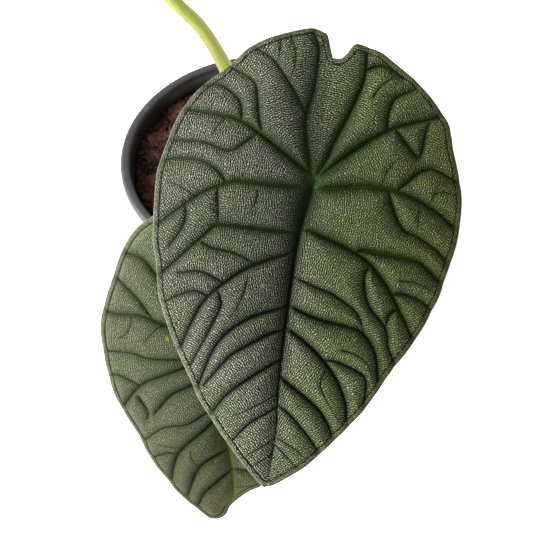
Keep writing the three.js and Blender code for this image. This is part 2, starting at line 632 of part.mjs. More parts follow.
// Stems: each stalk tapers from a sheath at its foot, and ends just under its blade.
function stalkSolid(leaf) {
  const form = bladeForm(leaf);
  const normal = form.normalAt(0);
  const underside = MIDRIB.depth + BLADE_THICKNESS + MIDRIB.rib + HUB_BOSS + JOIN_GAP;
  const end = form.pointAt(0, 0, -underside);
  const route = leaf.stalk.map((point) => new THREE.Vector3(...point));
  const arrival = end.clone().sub(route.at(-1)).normalize().add(normal).normalize();
  route.push(end.clone().addScaledVector(arrival, -JOIN_REACH), end);
  const curve = new THREE.CatmullRomCurve3(route, false, 'centripetal');
  const frames = curve.computeFrenetFrames(STALK_STEPS, false);
  const rings = [];
  for (let step = 0; step <= STALK_STEPS; step += 1) {
    const share = step / STALK_STEPS;
    const centre = curve.getPointAt(share);
    const sheath = Math.max(0, 1 - share / SHEATH_LENGTH);
    const slim = STALK_RADIUS + (STALK_TIP_RADIUS - STALK_RADIUS) * share;
    const radius = slim + (SHEATH_RADIUS - STALK_RADIUS) * sheath * sheath * (3 - 2 * sheath);
    const across = step === STALK_STEPS ? squareTo(frames.normals[step], normal) : frames.normals[step];
    const other = step === STALK_STEPS ? normal.clone().cross(across) : frames.binormals[step];
    const ring = [];
    for (let k = 0; k < STALK_SIDES; k += 1) {
      const angle = (2 * Math.PI * k) / STALK_SIDES;
      const point = centre
        .clone()
        .addScaledVector(across, radius * Math.cos(angle))
        .addScaledVector(other, radius * Math.sin(angle));
      ring.push(point.toArray());
    }
    rings.push(ring);
  }
  const skin = ringSkin(rings, route[0].toArray(), end.toArray());
  return toSolid(skin.points, skin.triangles);
}

function squareTo(vector, axis) {
  return vector.clone().addScaledVector(axis, -vector.dot(axis)).normalize();
}

function crownSolid() {
  const foot = SOIL_LEVEL - SOIL_HOLE_DEPTH + JOIN_GAP;
  const top = SOIL_LEVEL + CROWN_HEIGHT;
  const profile = [
    [CROWN_RADIUS - FOOT_ROUND, foot],
    [CROWN_RADIUS, foot + FOOT_ROUND],
    [CROWN_RADIUS, SOIL_LEVEL + CROWN_SHOULDER],
    [(2 * CROWN_RADIUS + CROWN_TOP_RADIUS) / 3, (SOIL_LEVEL + CROWN_SHOULDER + top) / 2],
    [CROWN_TOP_RADIUS, top],
  ];
  const rings = profile.map(([radius, z]) => circle(CROWN_CENTRE, radius, z, CROWN_SEGMENTS));
  const skin = ringSkin(rings, [...CROWN_CENTRE, foot], [...CROWN_CENTRE, top]);
  return toSolid(skin.points, skin.triangles);
}

function stemsGeometry() {
  const joined = LEAVES.reduce((whole, leaf) => whole.add(stalkSolid(leaf)), crownSolid());
  return toGeometry(joined);
}

// The whole plant in its pot.
const plant = new THREE.Group();
const place = (name, geometry, material) => {
  const mesh = new THREE.Mesh(geometry, material);
  mesh.name = name;
  plant.add(mesh);
};
place('pot', potGeometry(), POT_FINISH);
place('soil', soilGeometry(), SOIL_FINISH);
place('stems', stemsGeometry(), STALK_FINISH);
const BLADE_FINISHES = { front: FRONT_FINISH, lower: LOWER_FINISH, back: BACK_FINISH };
LEAVES.forEach((leaf) => place(`blade_${leaf.name}`, bladeGeometry(leaf), BLADE_FINISHES[leaf.name]));

export default plant;
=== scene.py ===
"""A potted alocasia melo: three quilted, pebbled shield leaves on arching stalks, in a round nursery pot.

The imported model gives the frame. Lengths in this file are millimetres unless a name says otherwise, and
each mesh is written out in metres. +Z is up, and the front leaf leans towards -Y.
"""

import logging
import math
from dataclasses import dataclass
from enum import Enum
from typing import Iterable, Sequence

import bmesh
import bpy
import numpy as np
from mathutils import Matrix, Vector
from mathutils.geometry import delaunay_2d_cdt


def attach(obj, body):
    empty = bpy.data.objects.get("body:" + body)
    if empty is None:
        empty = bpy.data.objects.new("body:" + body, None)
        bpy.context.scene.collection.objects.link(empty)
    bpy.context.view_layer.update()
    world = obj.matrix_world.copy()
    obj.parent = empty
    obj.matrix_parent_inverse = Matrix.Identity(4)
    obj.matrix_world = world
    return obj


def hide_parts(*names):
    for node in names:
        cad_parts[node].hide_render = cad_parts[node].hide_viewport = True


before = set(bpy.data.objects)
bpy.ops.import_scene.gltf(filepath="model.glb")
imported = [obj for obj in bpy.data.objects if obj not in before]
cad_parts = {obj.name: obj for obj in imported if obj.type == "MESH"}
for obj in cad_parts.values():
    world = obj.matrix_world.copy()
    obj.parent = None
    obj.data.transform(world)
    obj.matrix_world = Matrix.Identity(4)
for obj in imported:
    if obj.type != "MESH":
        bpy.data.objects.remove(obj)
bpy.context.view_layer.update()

log = logging.getLogger("potted_alocasia")

METRES = 0.001
BODY = "root"
SPAN_SAMPLES = 16
Path2 = list[list[float]]
Span = tuple[float, float]
Triple = tuple[float, float, float]
Colour = Triple
Settings = dict[str, object] | None
Inputs = dict[str | int, object] | None


# Curves and meshes


def smooth_path(points: Sequence[Sequence[float]], step: float, closed: bool = False) -> np.ndarray:
    """Runs a smooth curve through points and samples it evenly.

    Args:
        points: The curve's points, in two or three dimensions.
        step: The distance between samples.
        closed: Whether the curve returns to its start.

    Returns:
        The samples, one a row. A closed curve doesn't repeat its first one.
    """
    given = np.asarray(points, dtype=float)
    if closed:
        control = np.vstack([given[-1:], given, given[:2]])
    else:
        control = np.vstack([2 * given[:1] - given[1:2], given, 2 * given[-1:] - given[-2:-1]])
    share = np.linspace(0, 1, SPAN_SAMPLES, endpoint=False)[:, None]
    stretches = []
    for k in range(len(control) - 3):
        a, b, c, d = control[k : k + 4]
        square = (2 * a - 5 * b + 4 * c - d) * share**2
        cube = (3 * b - 3 * c + d - a) * share**3
        stretches.append(0.5 * (2 * b + (c - a) * share + square + cube))
    dense = np.vstack([*stretches, control[-2:-1]])
    steps = np.linalg.norm(np.diff(dense, axis=0), axis=1)
    along = np.concatenate([[0], np.cumsum(steps)])
    places = np.linspace(0, along[-1], max(2, round(along[-1] / step)) + 1)
    samples = np.column_stack([np.interp(places, along, values) for values in dense.T])
    return samples[:-1] if closed else samples


def unit_rows(rows: np.ndarray) -> np.ndarray:
    """Scales each row to length one."""
    return rows / np.linalg.norm(rows, axis=1)[:, None]


def bell(distance: np.ndarray, width: float | np.ndarray) -> np.ndarray:
    """Gives 1 where a distance is 0, and next to nothing two widths away."""
    return np.exp(-((distance / width) ** 2))


def rise(value: float | np.ndarray, start: float, length: float) -> float | np.ndarray:
    """Goes evenly from 0 to 1 while a value grows by a length from a start."""
    return np.clip((value - start) / length, 0, 1)


def circle(sides: int) -> np.ndarray:
    """Gives even steps of a full turn, in radians."""
    return np.linspace(0, 2 * math.pi, sides, endpoint=False)


def ring_at(centre: Span, radius: float | np.ndarray, angle: np.ndarray, z: float) -> np.ndarray:
    """Gives the points of a level ring, one a row."""
    x, y = centre[0] + radius * np.cos(angle), centre[1] + radius * np.sin(angle)
    return np.column_stack([x, y, np.full(len(angle), z)])


def turned_up(places: np.ndarray, triangles: np.ndarray) -> np.ndarray:
    """Turns flat triangles so that each of them runs anticlockwise."""
    a, b, c = (places[triangles[:, corner]] for corner in range(3))
    area = (b[:, 0] - a[:, 0]) * (c[:, 1] - a[:, 1]) - (c[:, 0] - a[:, 0]) * (b[:, 1] - a[:, 1])
    return np.where((area < 0)[:, None], triangles[:, ::-1], triangles)


def side_normals(path: np.ndarray, closed: bool = False) -> np.ndarray:
    """Gives the unit vectors that point to the left of a flat path, one for each of its points."""
    if closed:
        ahead = np.roll(path, -1, axis=0) - np.roll(path, 1, axis=0)
    else:
        ahead = np.gradient(path, axis=0)
    ahead = unit_rows(ahead)
    return np.column_stack([-ahead[:, 1], ahead[:, 0]])


def is_inside(points: np.ndarray, outline: np.ndarray) -> np.ndarray:
    """Tells which flat points lie inside a closed outline."""
    inside = np.zeros(len(points), dtype=bool)
    x, y = points[:, 0], points[:, 1]
    for (ax, ay), (bx, by) in zip(outline, np.roll(outline, 1, axis=0)):
        if ay == by:
            continue
        crosses = ((ay > y) != (by > y)) & (x < (bx - ax) * (y - ay) / (by - ay) + ax)
        inside ^= crosses
    return inside


def path_distance(
    points: np.ndarray, path: np.ndarray, closed: bool = False
) -> tuple[np.ndarray, np.ndarray]:
    """Measures flat points from a path.

    Args:
        points: The points to measure.
        path: The path's points.
        closed: Whether the path's last point joins its first.

    Returns:
        Each point's distance, and the share of the path's length at which it is nearest.
    """
    ends = np.roll(path, -1, axis=0) if closed else path[1:]
    starts = path if closed else path[:-1]
    lengths = np.linalg.norm(ends - starts, axis=1)
    before = np.concatenate([[0], np.cumsum(lengths)])
    nearest = np.full(len(points), np.inf)
    share = np.zeros(len(points))
    for k, (start, end) in enumerate(zip(starts, ends)):
        line = end - start
        held = np.clip((points - start) @ line / max(line @ line, 1e-12), 0, 1)
        gap = points - start - held[:, None] * line
        distance = np.hypot(gap[:, 0], gap[:, 1])
        closer = distance < nearest
        nearest[closer] = distance[closer]
        share[closer] = (before[k] + held[closer] * lengths[k]) / before[-1]
    return nearest, share


def make_object(name: str, points: np.ndarray, faces: Sequence[Sequence[int]]) -> bpy.types.Object:
    """Makes a smooth-shaded mesh object whose faces point outwards.

    Args:
        name: The object's name.
        points: Its vertices in millimetres, one a row.
        faces: Its faces, as lists of vertex numbers that all run the same way round.

    Returns:
        The object, at the origin, linked to the scene.
    """
    mesh = bpy.data.meshes.new(name)
    mesh.from_pydata((np.asarray(points) * METRES).tolist(), [], [list(face) for face in faces])
    if signed_volume(mesh) < 0:
        mesh.flip_normals()
    mesh.polygons.foreach_set("use_smooth", [True] * len(mesh.polygons))
    mesh.update()
    piece = bpy.data.objects.new(name, mesh)
    bpy.context.scene.collection.objects.link(piece)
    return piece


def signed_volume(mesh: bpy.types.Mesh) -> float:
    """Gives a closed mesh's volume, which is negative where its faces point inwards."""
    mesh.calc_loop_triangles()
    count = len(mesh.loop_triangles)
    corners = np.empty(count * 3, dtype=np.int32)
    mesh.loop_triangles.foreach_get("vertices", corners)
    places = np.empty(len(mesh.vertices) * 3)
    mesh.vertices.foreach_get("co", places)
    a, b, c = places.reshape(-1, 3)[corners.reshape(-1, 3)].transpose(1, 0, 2)
    return float(np.einsum("ij,ij->i", a, np.cross(b, c)).sum() / 6)


def ring_faces(rings: int, sides: int) -> list[list[int]]:
    """Joins rings of equal counts with quads, each ring to the next.

    Args:
        rings: How many rings there are.
        sides: How many points each ring has.

    Returns:
        The faces.
    """
    faces = []
    for low in range(0, (rings - 1) * sides, sides):
        for k in range(sides):
            after = (k + 1) % sides
            faces.append([low + k, low + after, low + sides + after, low + sides + k])
    return faces


def tube_faces(rings: int, sides: int) -> list[list[int]]:
    """Joins rings into a tube that is closed on two points, which come after the rings.

    Args:
        rings: How many rings there are.
        sides: How many points each ring has.

    Returns:
        The faces.
    """
    faces = ring_faces(rings, sides)
    end = rings * sides
    for k in range(sides):
        after = (k + 1) % sides
        faces.append([end, after, k])
        faces.append([end + 1, end - sides + k, end - sides + after])
    return faces


def add_attribute(piece: bpy.types.Object, name: str, values: np.ndarray) -> None:
    """Stores one number for each vertex of a piece, for its material to read."""
    layer = piece.data.attributes.new(name, "FLOAT", "POINT")
    layer.data.foreach_set("value", np.asarray(values, dtype=np.float32))


def add_uv_map(piece: bpy.types.Object, name: str, places: np.ndarray) -> None:
    """Stores a place on the skin for each vertex of a piece, as its UV map."""
    mesh = piece.data
    corners = np.empty(len(mesh.loops), dtype=np.int32)
    mesh.loops.foreach_get("vertex_index", corners)
    mesh.uv_layers.new(name=name).data.foreach_set("uv", places[corners].astype(np.float32).ravel())


# Finishes


class NodeBoard:
    """A node tree, with short ways to add and join its nodes."""

    def __init__(self, tree: bpy.types.NodeTree) -> None:
        """Takes up a tree."""
        self.tree = tree

    def put(self, socket: bpy.types.NodeSocket, value: object) -> None:
        """Joins an output to a socket, or sets the socket to a constant."""
        if isinstance(value, bpy.types.NodeSocket):
            self.tree.links.new(value, socket)
        elif isinstance(value, tuple) and socket.type == "RGBA":
            socket.default_value = (*value, 1.0)
        else:
            socket.default_value = value

    def add(self, kind: str, settings: Settings = None, inputs: Inputs = None) -> bpy.types.Node:
        """Adds a node.

        Args:
            kind: The node's full type name.
            settings: Values for the node's own properties.
            inputs: Values or outputs for its sockets, by socket name or number.

        Returns:
            The node.
        """
        made = self.tree.nodes.new(kind)
        for name, value in (settings or {}).items():
            setattr(made, name, value)
        for name, value in (inputs or {}).items():
            self.put(made.inputs[name], value)
        return made


class NodeSheet(NodeBoard):
    """A material's node tree."""

    def __init__(self, name: str) -> None:
        """Starts a material with one shader.

        Args:
            name: The material's name.
        """
        self.material = bpy.data.materials.new(name)
        self.material.use_nodes = True
        super().__init__(self.material.node_tree)
        self.tree.nodes.clear()
        output = self.add("ShaderNodeOutputMaterial")
        self.shader = self.add("ShaderNodeBsdfPrincipled")
        self.put(output.inputs["Surface"], self.shader.outputs["BSDF"])

    def node(self, kind: str, settings: Settings = None, **inputs: object) -> bpy.types.Node:
        """Adds a shader node.

        Args:
            kind: The node's type name without its prefix.
            settings: Values for the node's own properties.
            inputs: Values or outputs for its sockets, by socket name with spaces as underscores.

        Returns:
            The node.
        """
        named = {name.replace("_", " "): value for name, value in inputs.items()}
        return self.add(f"ShaderNode{kind}", settings, named)

    def attribute(self, name: str) -> bpy.types.NodeSocket:
        """Reads a number stored on the piece's vertices."""
        return self.node("Attribute", {"attribute_name": name}).outputs["Fac"]

    def uv_map(self, name: str) -> bpy.types.NodeSocket:
        """Reads one of the piece's UV maps."""
        return self.node("UVMap", {"uv_map": name}).outputs["UV"]

    def place(self) -> bpy.types.NodeSocket:
        """Reads the place on the piece, in metres."""
        return self.node("TexCoord").outputs["Object"]

    def axis(self, where: object, name: str) -> bpy.types.NodeSocket:
        """Gives the X, Y or Z of a place."""
        return self.node("SeparateXYZ", None, Vector=where).outputs[name]

    def stretched(self, where: object, scale: Triple) -> bpy.types.NodeSocket:
        """Scales a place, each axis by its own factor."""
        return self.node("Mapping", None, Vector=where, Scale=scale).outputs["Vector"]

    def math(self, operation: str, first: object, second: object = 0.0) -> bpy.types.NodeSocket:
        """Works out one number from two, such as ADD or ARCTAN2."""
        return self.add("ShaderNodeMath", {"operation": operation}, {0: first, 1: second}).outputs[0]

    def times(self, first: object, second: object) -> bpy.types.NodeSocket:
        """Multiplies two numbers."""
        return self.math("MULTIPLY", first, second)

    def ramp(
        self, value: object, start: object, end: object, low: float = 0.0, high: float = 1.0
    ) -> bpy.types.NodeSocket:
        """Eases a number smoothly from low to high while it goes from start to end."""
        limits = {"From_Min": start, "From_Max": end, "To_Min": low, "To_Max": high}
        made = self.node("MapRange", {"interpolation_type": "SMOOTHSTEP"}, Value=value, **limits)
        return made.outputs["Result"]

    def blend(self, share: object, first: object, second: object) -> bpy.types.NodeSocket:
        """Mixes two numbers by a share of the second."""
        return self.add("ShaderNodeMix", None, {0: share, 2: first, 3: second}).outputs[0]

    def mix(self, share: object, first: object, second: object) -> bpy.types.NodeSocket:
        """Mixes two colours by a share of the second."""
        made = self.add("ShaderNodeMix", {"data_type": "RGBA"}, {0: share, 6: first, 7: second})
        return made.outputs[2]

    def noise(self, scale: float, detail: float = 2.0, where: object = None) -> bpy.types.NodeSocket:
        """Gives a soft random number over the object, or over other coordinates."""
        place = where if where is not None else self.place()
        return self.node("TexNoise", None, Vector=place, Scale=scale, Detail=detail).outputs["Fac"]

    def bump(self, height: object, distance: float) -> bpy.types.NodeSocket:
        """Tilts the surface by a height field from 0 to 1, of a full size in metres."""
        return self.node("Bump", None, Height=height, Distance=distance).outputs["Normal"]

    def finish(
        self,
        colour: object,
        roughness: object,
        normal: object = None,
        specular: float = 0.5,
        glow: float = 0.0,
    ) -> bpy.types.Material:
        """Sets the shader.

        Args:
            colour: The base colour.
            roughness: The roughness.
            normal: The bumped normal, where there is one.
            specular: The level of plain reflection.
            glow: How much light the surface gives of itself.

        Returns:
            The material.
        """
        self.put(self.shader.inputs["Base Color"], colour)
        self.put(self.shader.inputs["Roughness"], roughness)
        self.shader.inputs["Specular IOR Level"].default_value = specular
        if glow > 0:
            self.put(self.shader.inputs["Emission Color"], (1.0, 1.0, 1.0))
            self.shader.inputs["Emission Strength"].default_value = glow
        if normal is not None:
            self.put(self.shader.inputs["Normal"], normal)
        return self.material


@dataclass(frozen=True)
class BladeFinish:
    """The skin of a blade: strings of pale waxy beads brightened with painted sheen, dark sunken veins with
    painted shade in their valleys, a smooth rim with a painted highlight on its left half, a paler underside.

    Colours with "right" are those of the blade's right half, and pitches and widths are in millimetres. The
    left half's beads are paler and greyer than the right's: painted sheen where the light falls, and painted
    shade where it doesn't.
    """

    name: str
    # The beads' pale colour, brightened as painted sheen; paler and greyer on the left half, where the light
    # falls, than on the right half.
    wax_and_sheen: Colour = (0.6, 0.6, 0.44)
    wax_right: Colour = (0.44, 0.5, 0.22)
    wax_green: Colour = (0.23, 0.38, 0.12)
    sheen_turn: Span = (-0.25, 0.35)
    gap: Colour = (0.008, 0.012, 0.004)
    gap_right: Colour = (0.015, 0.024, 0.006)
    gap_green: Colour = (0.007, 0.016, 0.001)
    gap_turn: Span = (-0.1, 0.3)
    vein_dark: Colour = (0.003, 0.005, 0.001)
    vein_bright: Colour = (0.018, 0.042, 0.001)
    vein_width: float = 0.7
    vein_core: float = 0.4
    warm: Colour = (0.44, 0.45, 0.11)
    streak: Colour = (0.05, 0.1, 0.012)
    speck: Colour = (0.34, 0.26, 0.2)
    # A thin pale line along the margin: partly the margin's own colour, painted on the left half only as a
    # highlight where the light falls.
    edge: Colour = (0.3, 0.3, 0.2)
    edge_width: float = 0.1
    edge_share: float = 0.6
    edge_highlight_turn: Span = (-0.3, 0.2)
    under: Colour = (0.13, 0.19, 0.08)
    under_vein: Colour = (0.25, 0.3, 0.12)
    under_blotch: Span = (0.3, 0.7)
    under_relief: float = 0.2
    rib_core: float = 0.2
    rib_width: float = 1.5
    string_pitch: float = 0.66
    string_order: float = 0.8
    string_band: Span = (0.24, 0.94)
    bead_pitch: float = 0.8
    bead_order: float = 0.6
    bead_band: Span = (0.05, 0.85)
    bead_floor: float = 0.24
    bead_height: float = 0.00028
    waves_kept: float = 1.9
    blotch_scale: float = 60.0
    blotch: Span = (0.35, 0.68)
    blotch_share: float = 0.4
    chance_scale: float = 0.9
    chance: Span = (0.3, 0.7)
    chance_level: Span = (0.68, 1.32)
    # How far the beads dim in the valleys beside the veins: painted shade.
    hollow_shade: float = 0.93
    even_level: float = 0.15
    even_rim: float = 0.65
    even_reach: float = 1.5
    even_field: float = 0.0
    roughness: Span = (0.62, 0.36)
    shine: float = 0.13

    def build(self) -> bpy.types.Material:
        """Makes the material.

        Returns:
            The material, which reads the blade's two maps and its stored distances.
        """
        sheet = NodeSheet(self.name)
        names = ("vein_gap", "vein_strength", "glow", "upper", "side", "edge_gap")
        vein, strength, glow, upper, side, edge = (sheet.attribute(name) for name in names)
        flat = sheet.uv_map("flat")
        blotch = sheet.noise(self.blotch_scale, 3.0)
        even = sheet.ramp(edge, self.even_reach / 2, self.even_reach, self.even_rim, self.even_field)
        bead = sheet.blend(even, self.beads(sheet, flat), self.even_level)
        width = sheet.times(strength, self.vein_width)
        line = sheet.ramp(vein, sheet.times(width, self.vein_core), width, 1.0, 0.0)
        vein_colour = sheet.mix(glow, self.vein_dark, self.vein_bright)
        top = sheet.mix(line, self.skin(sheet, flat, bead, blotch), vein_colour)
        for name, colour in (("streak", self.streak), ("speck", self.speck)):
            top = sheet.mix(sheet.attribute(name), top, colour)
        # Painted highlight: the pale margin line shows on the left half only, where the light falls.
        rim = sheet.ramp(edge, 0.0, self.edge_width, self.edge_share, 0.0)
        top = sheet.mix(sheet.times(rim, sheet.ramp(side, *self.edge_highlight_turn, 1.0, 0.0)), top, self.edge)
        rib = sheet.ramp(vein, self.rib_core, sheet.times(strength, self.rib_width), 1.0, 0.0)
        beneath = sheet.mix(sheet.ramp(blotch, *self.under_blotch), self.under, self.wax_green)
        colour = sheet.mix(upper, sheet.mix(rib, beneath, self.under_vein), top)
        height = sheet.times(bead, sheet.math("SUBTRACT", 1.0, line))
        height = sheet.times(height, sheet.math("ADD", self.under_relief, upper))
        normal = sheet.bump(height, self.bead_height)
        return sheet.finish(colour, sheet.ramp(bead, 0.0, 1.0, *self.roughness), normal, self.shine)

    def skin(self, sheet: NodeSheet, flat: object, bead: object, blotch: object) -> bpy.types.NodeSocket:
        """Colours the skin between the veins.

        Args:
            sheet: The node tree to add to.
            flat: The place in the blade's own plane.
            bead: The height on a bead.
            blotch: A slow random number.

        Returns:
            The colour.
        """
        side, hollow = sheet.attribute("side"), sheet.attribute("hollow")
        lush = sheet.times(hollow, sheet.attribute("glow"))
        # Painted sheen: the beads are paler and greyer on the left half, which faces the light.
        wax_and_sheen = sheet.mix(sheet.ramp(side, *self.sheen_turn), self.wax_and_sheen, self.wax_right)
        wax_and_sheen = sheet.mix(sheet.ramp(blotch, *self.blotch, 0.0, self.blotch_share), wax_and_sheen, self.wax_green)
        wax_and_sheen = sheet.mix(sheet.attribute("warmth"), wax_and_sheen, self.warm)
        wax_and_sheen = sheet.mix(lush, wax_and_sheen, self.wax_green)
        gap = sheet.mix(sheet.ramp(side, *self.gap_turn), self.gap, self.gap_right)
        gap = sheet.mix(lush, gap, self.gap_green)
        chance = sheet.noise(self.chance_scale, 1.0, flat)
        level = sheet.times(sheet.ramp(chance, *self.chance, *self.chance_level), sheet.attribute("bloom"))
        # Painted shade: the beads dim in the valleys beside the veins.
        level = sheet.times(level, sheet.blend(hollow, 1.0, 1.0 - self.hollow_shade))
        return sheet.mix(sheet.times(bead, level), gap, wax_and_sheen)

    def beads(self, sheet: NodeSheet, flat: bpy.types.NodeSocket) -> bpy.types.NodeSocket:
        """Makes the beads of the skin, in strings that cross from vein to vein.

        Args:
            sheet: The node tree to add to.
            flat: The place in the blade's own plane.

        Returns:
            Each place's height on its bead, from 0 to 1.
        """
        run = sheet.uv_map("run")
        doubled = sheet.math("ARCTAN2", sheet.axis(run, "Y"), sheet.axis(run, "X"))
        along = sheet.times(doubled, 0.5)
        across = sheet.math("ADD", along, math.pi / 2)
        string = self.waves(sheet, flat, along, self.string_pitch, self.string_order)
        bead = self.waves(sheet, flat, across, self.bead_pitch, self.bead_order)
        string = sheet.ramp(string, *self.string_band)
        return sheet.times(string, sheet.ramp(bead, *self.bead_band, self.bead_floor, 1.0))

    def waves(
        self, sheet: NodeSheet, flat: object, way: object, pitch: float, order: float
    ) -> bpy.types.NodeSocket:
        """Makes wavering lines at an even pitch, square to a direction, as a number from 0 to 1."""
        made = sheet.node(
            "TexGabor",
            {"gabor_type": "2D"},
            Vector=flat,
            Scale=1 / (pitch * self.waves_kept),
            Frequency=self.waves_kept,
            Anisotropy=order,
            Orientation=way,
        )
        turn = sheet.math("COSINE", sheet.times(made.outputs["Phase"], 2 * math.pi))
        return sheet.math("ADD", sheet.times(turn, 0.5), 0.5)


@dataclass(frozen=True)
class StalkFinish:
    """A fleshy yellow-green stalk: fine lengthwise streaks, a greener far side painted lighter, and a pale,
    pinkish lit side dimmed with painted shade.
    """

    name: str = "stalk_skin"
    flesh: Colour = (0.5, 0.5, 0.115)
    green: Colour = (0.56, 0.62, 0.1)
    # A pinkish tone on the side towards the light, deepened as painted shade.
    blush_and_shade: Colour = (0.33, 0.31, 0.12)
    base: Colour = (0.6, 0.64, 0.3)
    sheath_edge: Colour = (0.33, 0.2, 0.09)
    streak_stretch: Triple = (14.0, 0.06, 1.0)
    streak_scale: float = 2.2
    streak_height: float = 0.00018
    fleck_stretch: Triple = (9.0, 0.9, 1.0)
    fleck_scale: float = 1.6
    roughness: Span = (0.34, 0.46)

    def build(self) -> bpy.types.Material:
        """Makes the material, whose map goes round the stalk, then along it in millimetres."""
        sheet = NodeSheet(self.name)
        skin = sheet.uv_map("skin")
        streak = sheet.noise(self.streak_scale, 3.0, sheet.stretched(skin, self.streak_stretch))
        fleck = sheet.noise(self.fleck_scale, 2.0, sheet.stretched(skin, self.fleck_stretch))
        sun, foot, fold = (sheet.attribute(name) for name in ("sun_side", "foot", "fold"))
        body = sheet.mix(sheet.ramp(streak, 0.35, 0.65), self.flesh, self.green)
        for share, colour in (
            # Painted shade on the side towards the light, and the far side painted lighter and greener,
            # evening out the light from the left.
            (sheet.ramp(sun, 0.38, 0.8, 0.0, 0.95), self.blush_and_shade),
            (sheet.ramp(sun, 0.0, 0.35, 0.6, 0.0), self.green),
            (sheet.ramp(fleck, 0.62, 0.74, 0.0, 0.35), self.base),
            (sheet.ramp(foot, 0.2, 1.0, 0.0, 0.7), self.base),
            (fold, self.sheath_edge),
        ):
            body = sheet.mix(share, body, colour)
        normal = sheet.bump(streak, self.streak_height)
        return sheet.finish(body, sheet.ramp(fleck, 0.3, 0.7, *self.roughness), normal, 0.5)


@dataclass(frozen=True)
class PotFinish:
    """Moulded dark grey plastic: a fine satin grain, faint rings from the mould, a scuffed lip, an inner wall
    darkened with painted shade and painted light on the inner wall's far side under the lip.
    """

    name: str = "pot_plastic"
    plastic: Colour = (0.057, 0.053, 0.056)
    worn: Colour = (0.066, 0.061, 0.064)
    # The colour of scuffs of dust, and of painted light on the far inner wall under the lip.
    dust_and_light: Colour = (0.16, 0.15, 0.15)
    # Painted shade: the inner wall's near-black colour.
    inner_shade: Colour = (0.012, 0.01, 0.01)
    lip: Span = (0.0865, 0.0905)
    # Where the painted light lies on the inner wall: its height, and how far towards the back, in metres.
    lit_wall_height: Span = (0.0845, 0.0882)
    lit_wall_side: Span = (0.03, 0.046)
    grain_scale: float = 2600.0
    cloud_scale: float = 45.0
    scuff_scale: float = 130.0
    scuff_stretch: Triple = (1.0, 1.0, 9.0)
    ring_rate: float = 2400.0
    ring_share: float = 0.06
    grain_share: float = 0.8
    relief: float = 0.00006
    roughness: Span = (0.42, 0.58)

    def build(self) -> bpy.types.Material:
        """Makes the material, which reads object coordinates in metres."""
        sheet = NodeSheet(self.name)
        place = sheet.place()
        height = sheet.axis(place, "Z")
        grain = sheet.noise(self.grain_scale, 2.0)
        cloud = sheet.noise(self.cloud_scale, 4.0)
        scuff = sheet.noise(self.scuff_scale, 4.0, sheet.stretched(place, self.scuff_stretch))
        inner = sheet.attribute("inner")
        # Painted light: the far inner wall, just under the lip, is lighter in cloudy patches.
        lit_wall = sheet.times(inner, sheet.ramp(height, *self.lit_wall_height))
        lit_wall = sheet.times(lit_wall, sheet.ramp(sheet.axis(place, "Y"), *self.lit_wall_side))
        body = sheet.mix(sheet.ramp(cloud, 0.35, 0.75, 0.0, 0.35), self.plastic, self.worn)
        for share, colour in (
            (sheet.times(sheet.ramp(height, *self.lip), 0.62), self.worn),
            # Painted shade: the whole inner wall goes near black.
            (inner, self.inner_shade),
            # Painted light on the far inner wall under the lip.
            (sheet.times(lit_wall, sheet.ramp(cloud, 0.35, 0.6, 0.3, 1.0)), self.dust_and_light),
            (sheet.ramp(scuff, 0.6, 0.74, 0.0, 0.5), self.dust_and_light),
        ):
            body = sheet.mix(share, body, colour)
        rings = sheet.math("SINE", sheet.times(height, self.ring_rate))
        relief = sheet.math("ADD", sheet.times(grain, self.grain_share), sheet.times(rings, self.ring_share))
        normal = sheet.bump(relief, self.relief)
        return sheet.finish(body, sheet.ramp(cloud, 0.3, 0.7, *self.roughness), normal, 0.45)


@dataclass(frozen=True)
class SoilFinish:
    """Damp potting mix: reddish dark brown, with paler crumbs, painted shade in the hollows between clods and
    painted shade along the pot's wall.
    """

    name: str = "potting_mix"
    # Near black: painted shade in the hollows between clods and along the pot's wall.
    dark: Colour = (0.012, 0.005, 0.004)
    brown: Colour = (0.1, 0.038, 0.03)
    pale: Colour = (0.125, 0.06, 0.046)
    clod_scale: float = 150.0
    patch_scale: float = 70.0
    grit_scale: float = 1500.0
    # Painted shade along the pot's wall: where it starts and ends, as distances from the centre in metres.
    wall: Span = (0.0445, 0.049)
    wall_shade_share: float = 0.75
    relief: float = 0.0006
    roughness: Span = (0.78, 0.95)

    def build(self) -> bpy.types.Material:
        """Makes the material, which reads object coordinates in metres."""
        sheet = NodeSheet(self.name)
        clod = sheet.noise(self.clod_scale, 4.0)
        patch = sheet.noise(self.patch_scale, 2.0)
        grit = sheet.noise(self.grit_scale, 3.0)
        flat = sheet.stretched(sheet.place(), (1.0, 1.0, 0.0))
        reach = sheet.add("ShaderNodeVectorMath", {"operation": "LENGTH"}, {0: flat}).outputs["Value"]
        # Painted shade: the low places between clods, where the bump sinks, go dark.
        body = sheet.mix(sheet.ramp(clod, 0.34, 0.62), self.dark, self.brown)
        for share, colour in (
            (sheet.ramp(patch, 0.48, 0.72, 0.0, 0.6), self.pale),
            (sheet.times(sheet.attribute("tint"), 0.4), self.pale),
            # Painted shade along the pot's wall.
            (sheet.ramp(reach, *self.wall, 0.0, self.wall_shade_share), self.dark),
        ):
            body = sheet.mix(share, body, colour)
        relief = sheet.math("ADD", sheet.times(clod, 0.7), sheet.times(grit, 0.3))
        normal = sheet.bump(relief, self.relief)
        return sheet.finish(body, sheet.ramp(grit, 0.3, 0.7, *self.roughness), normal, 0.12)


# Leaf patterns


@dataclass(frozen=True)
class VeinSize:
    """How large a sort of vein is.

    depth is how far the groove sinks into the upper face, strength how wide and dark the vein's line is,
    rib how far it stands out of the underside, fading the share of all this that is gone at the vein's
    end, and hollow how far the greener skin of its valley, dimmed with painted shade, reaches from it.
    """

    depth: float
    strength: float
    rib: float
    fading: float
    hollow: float


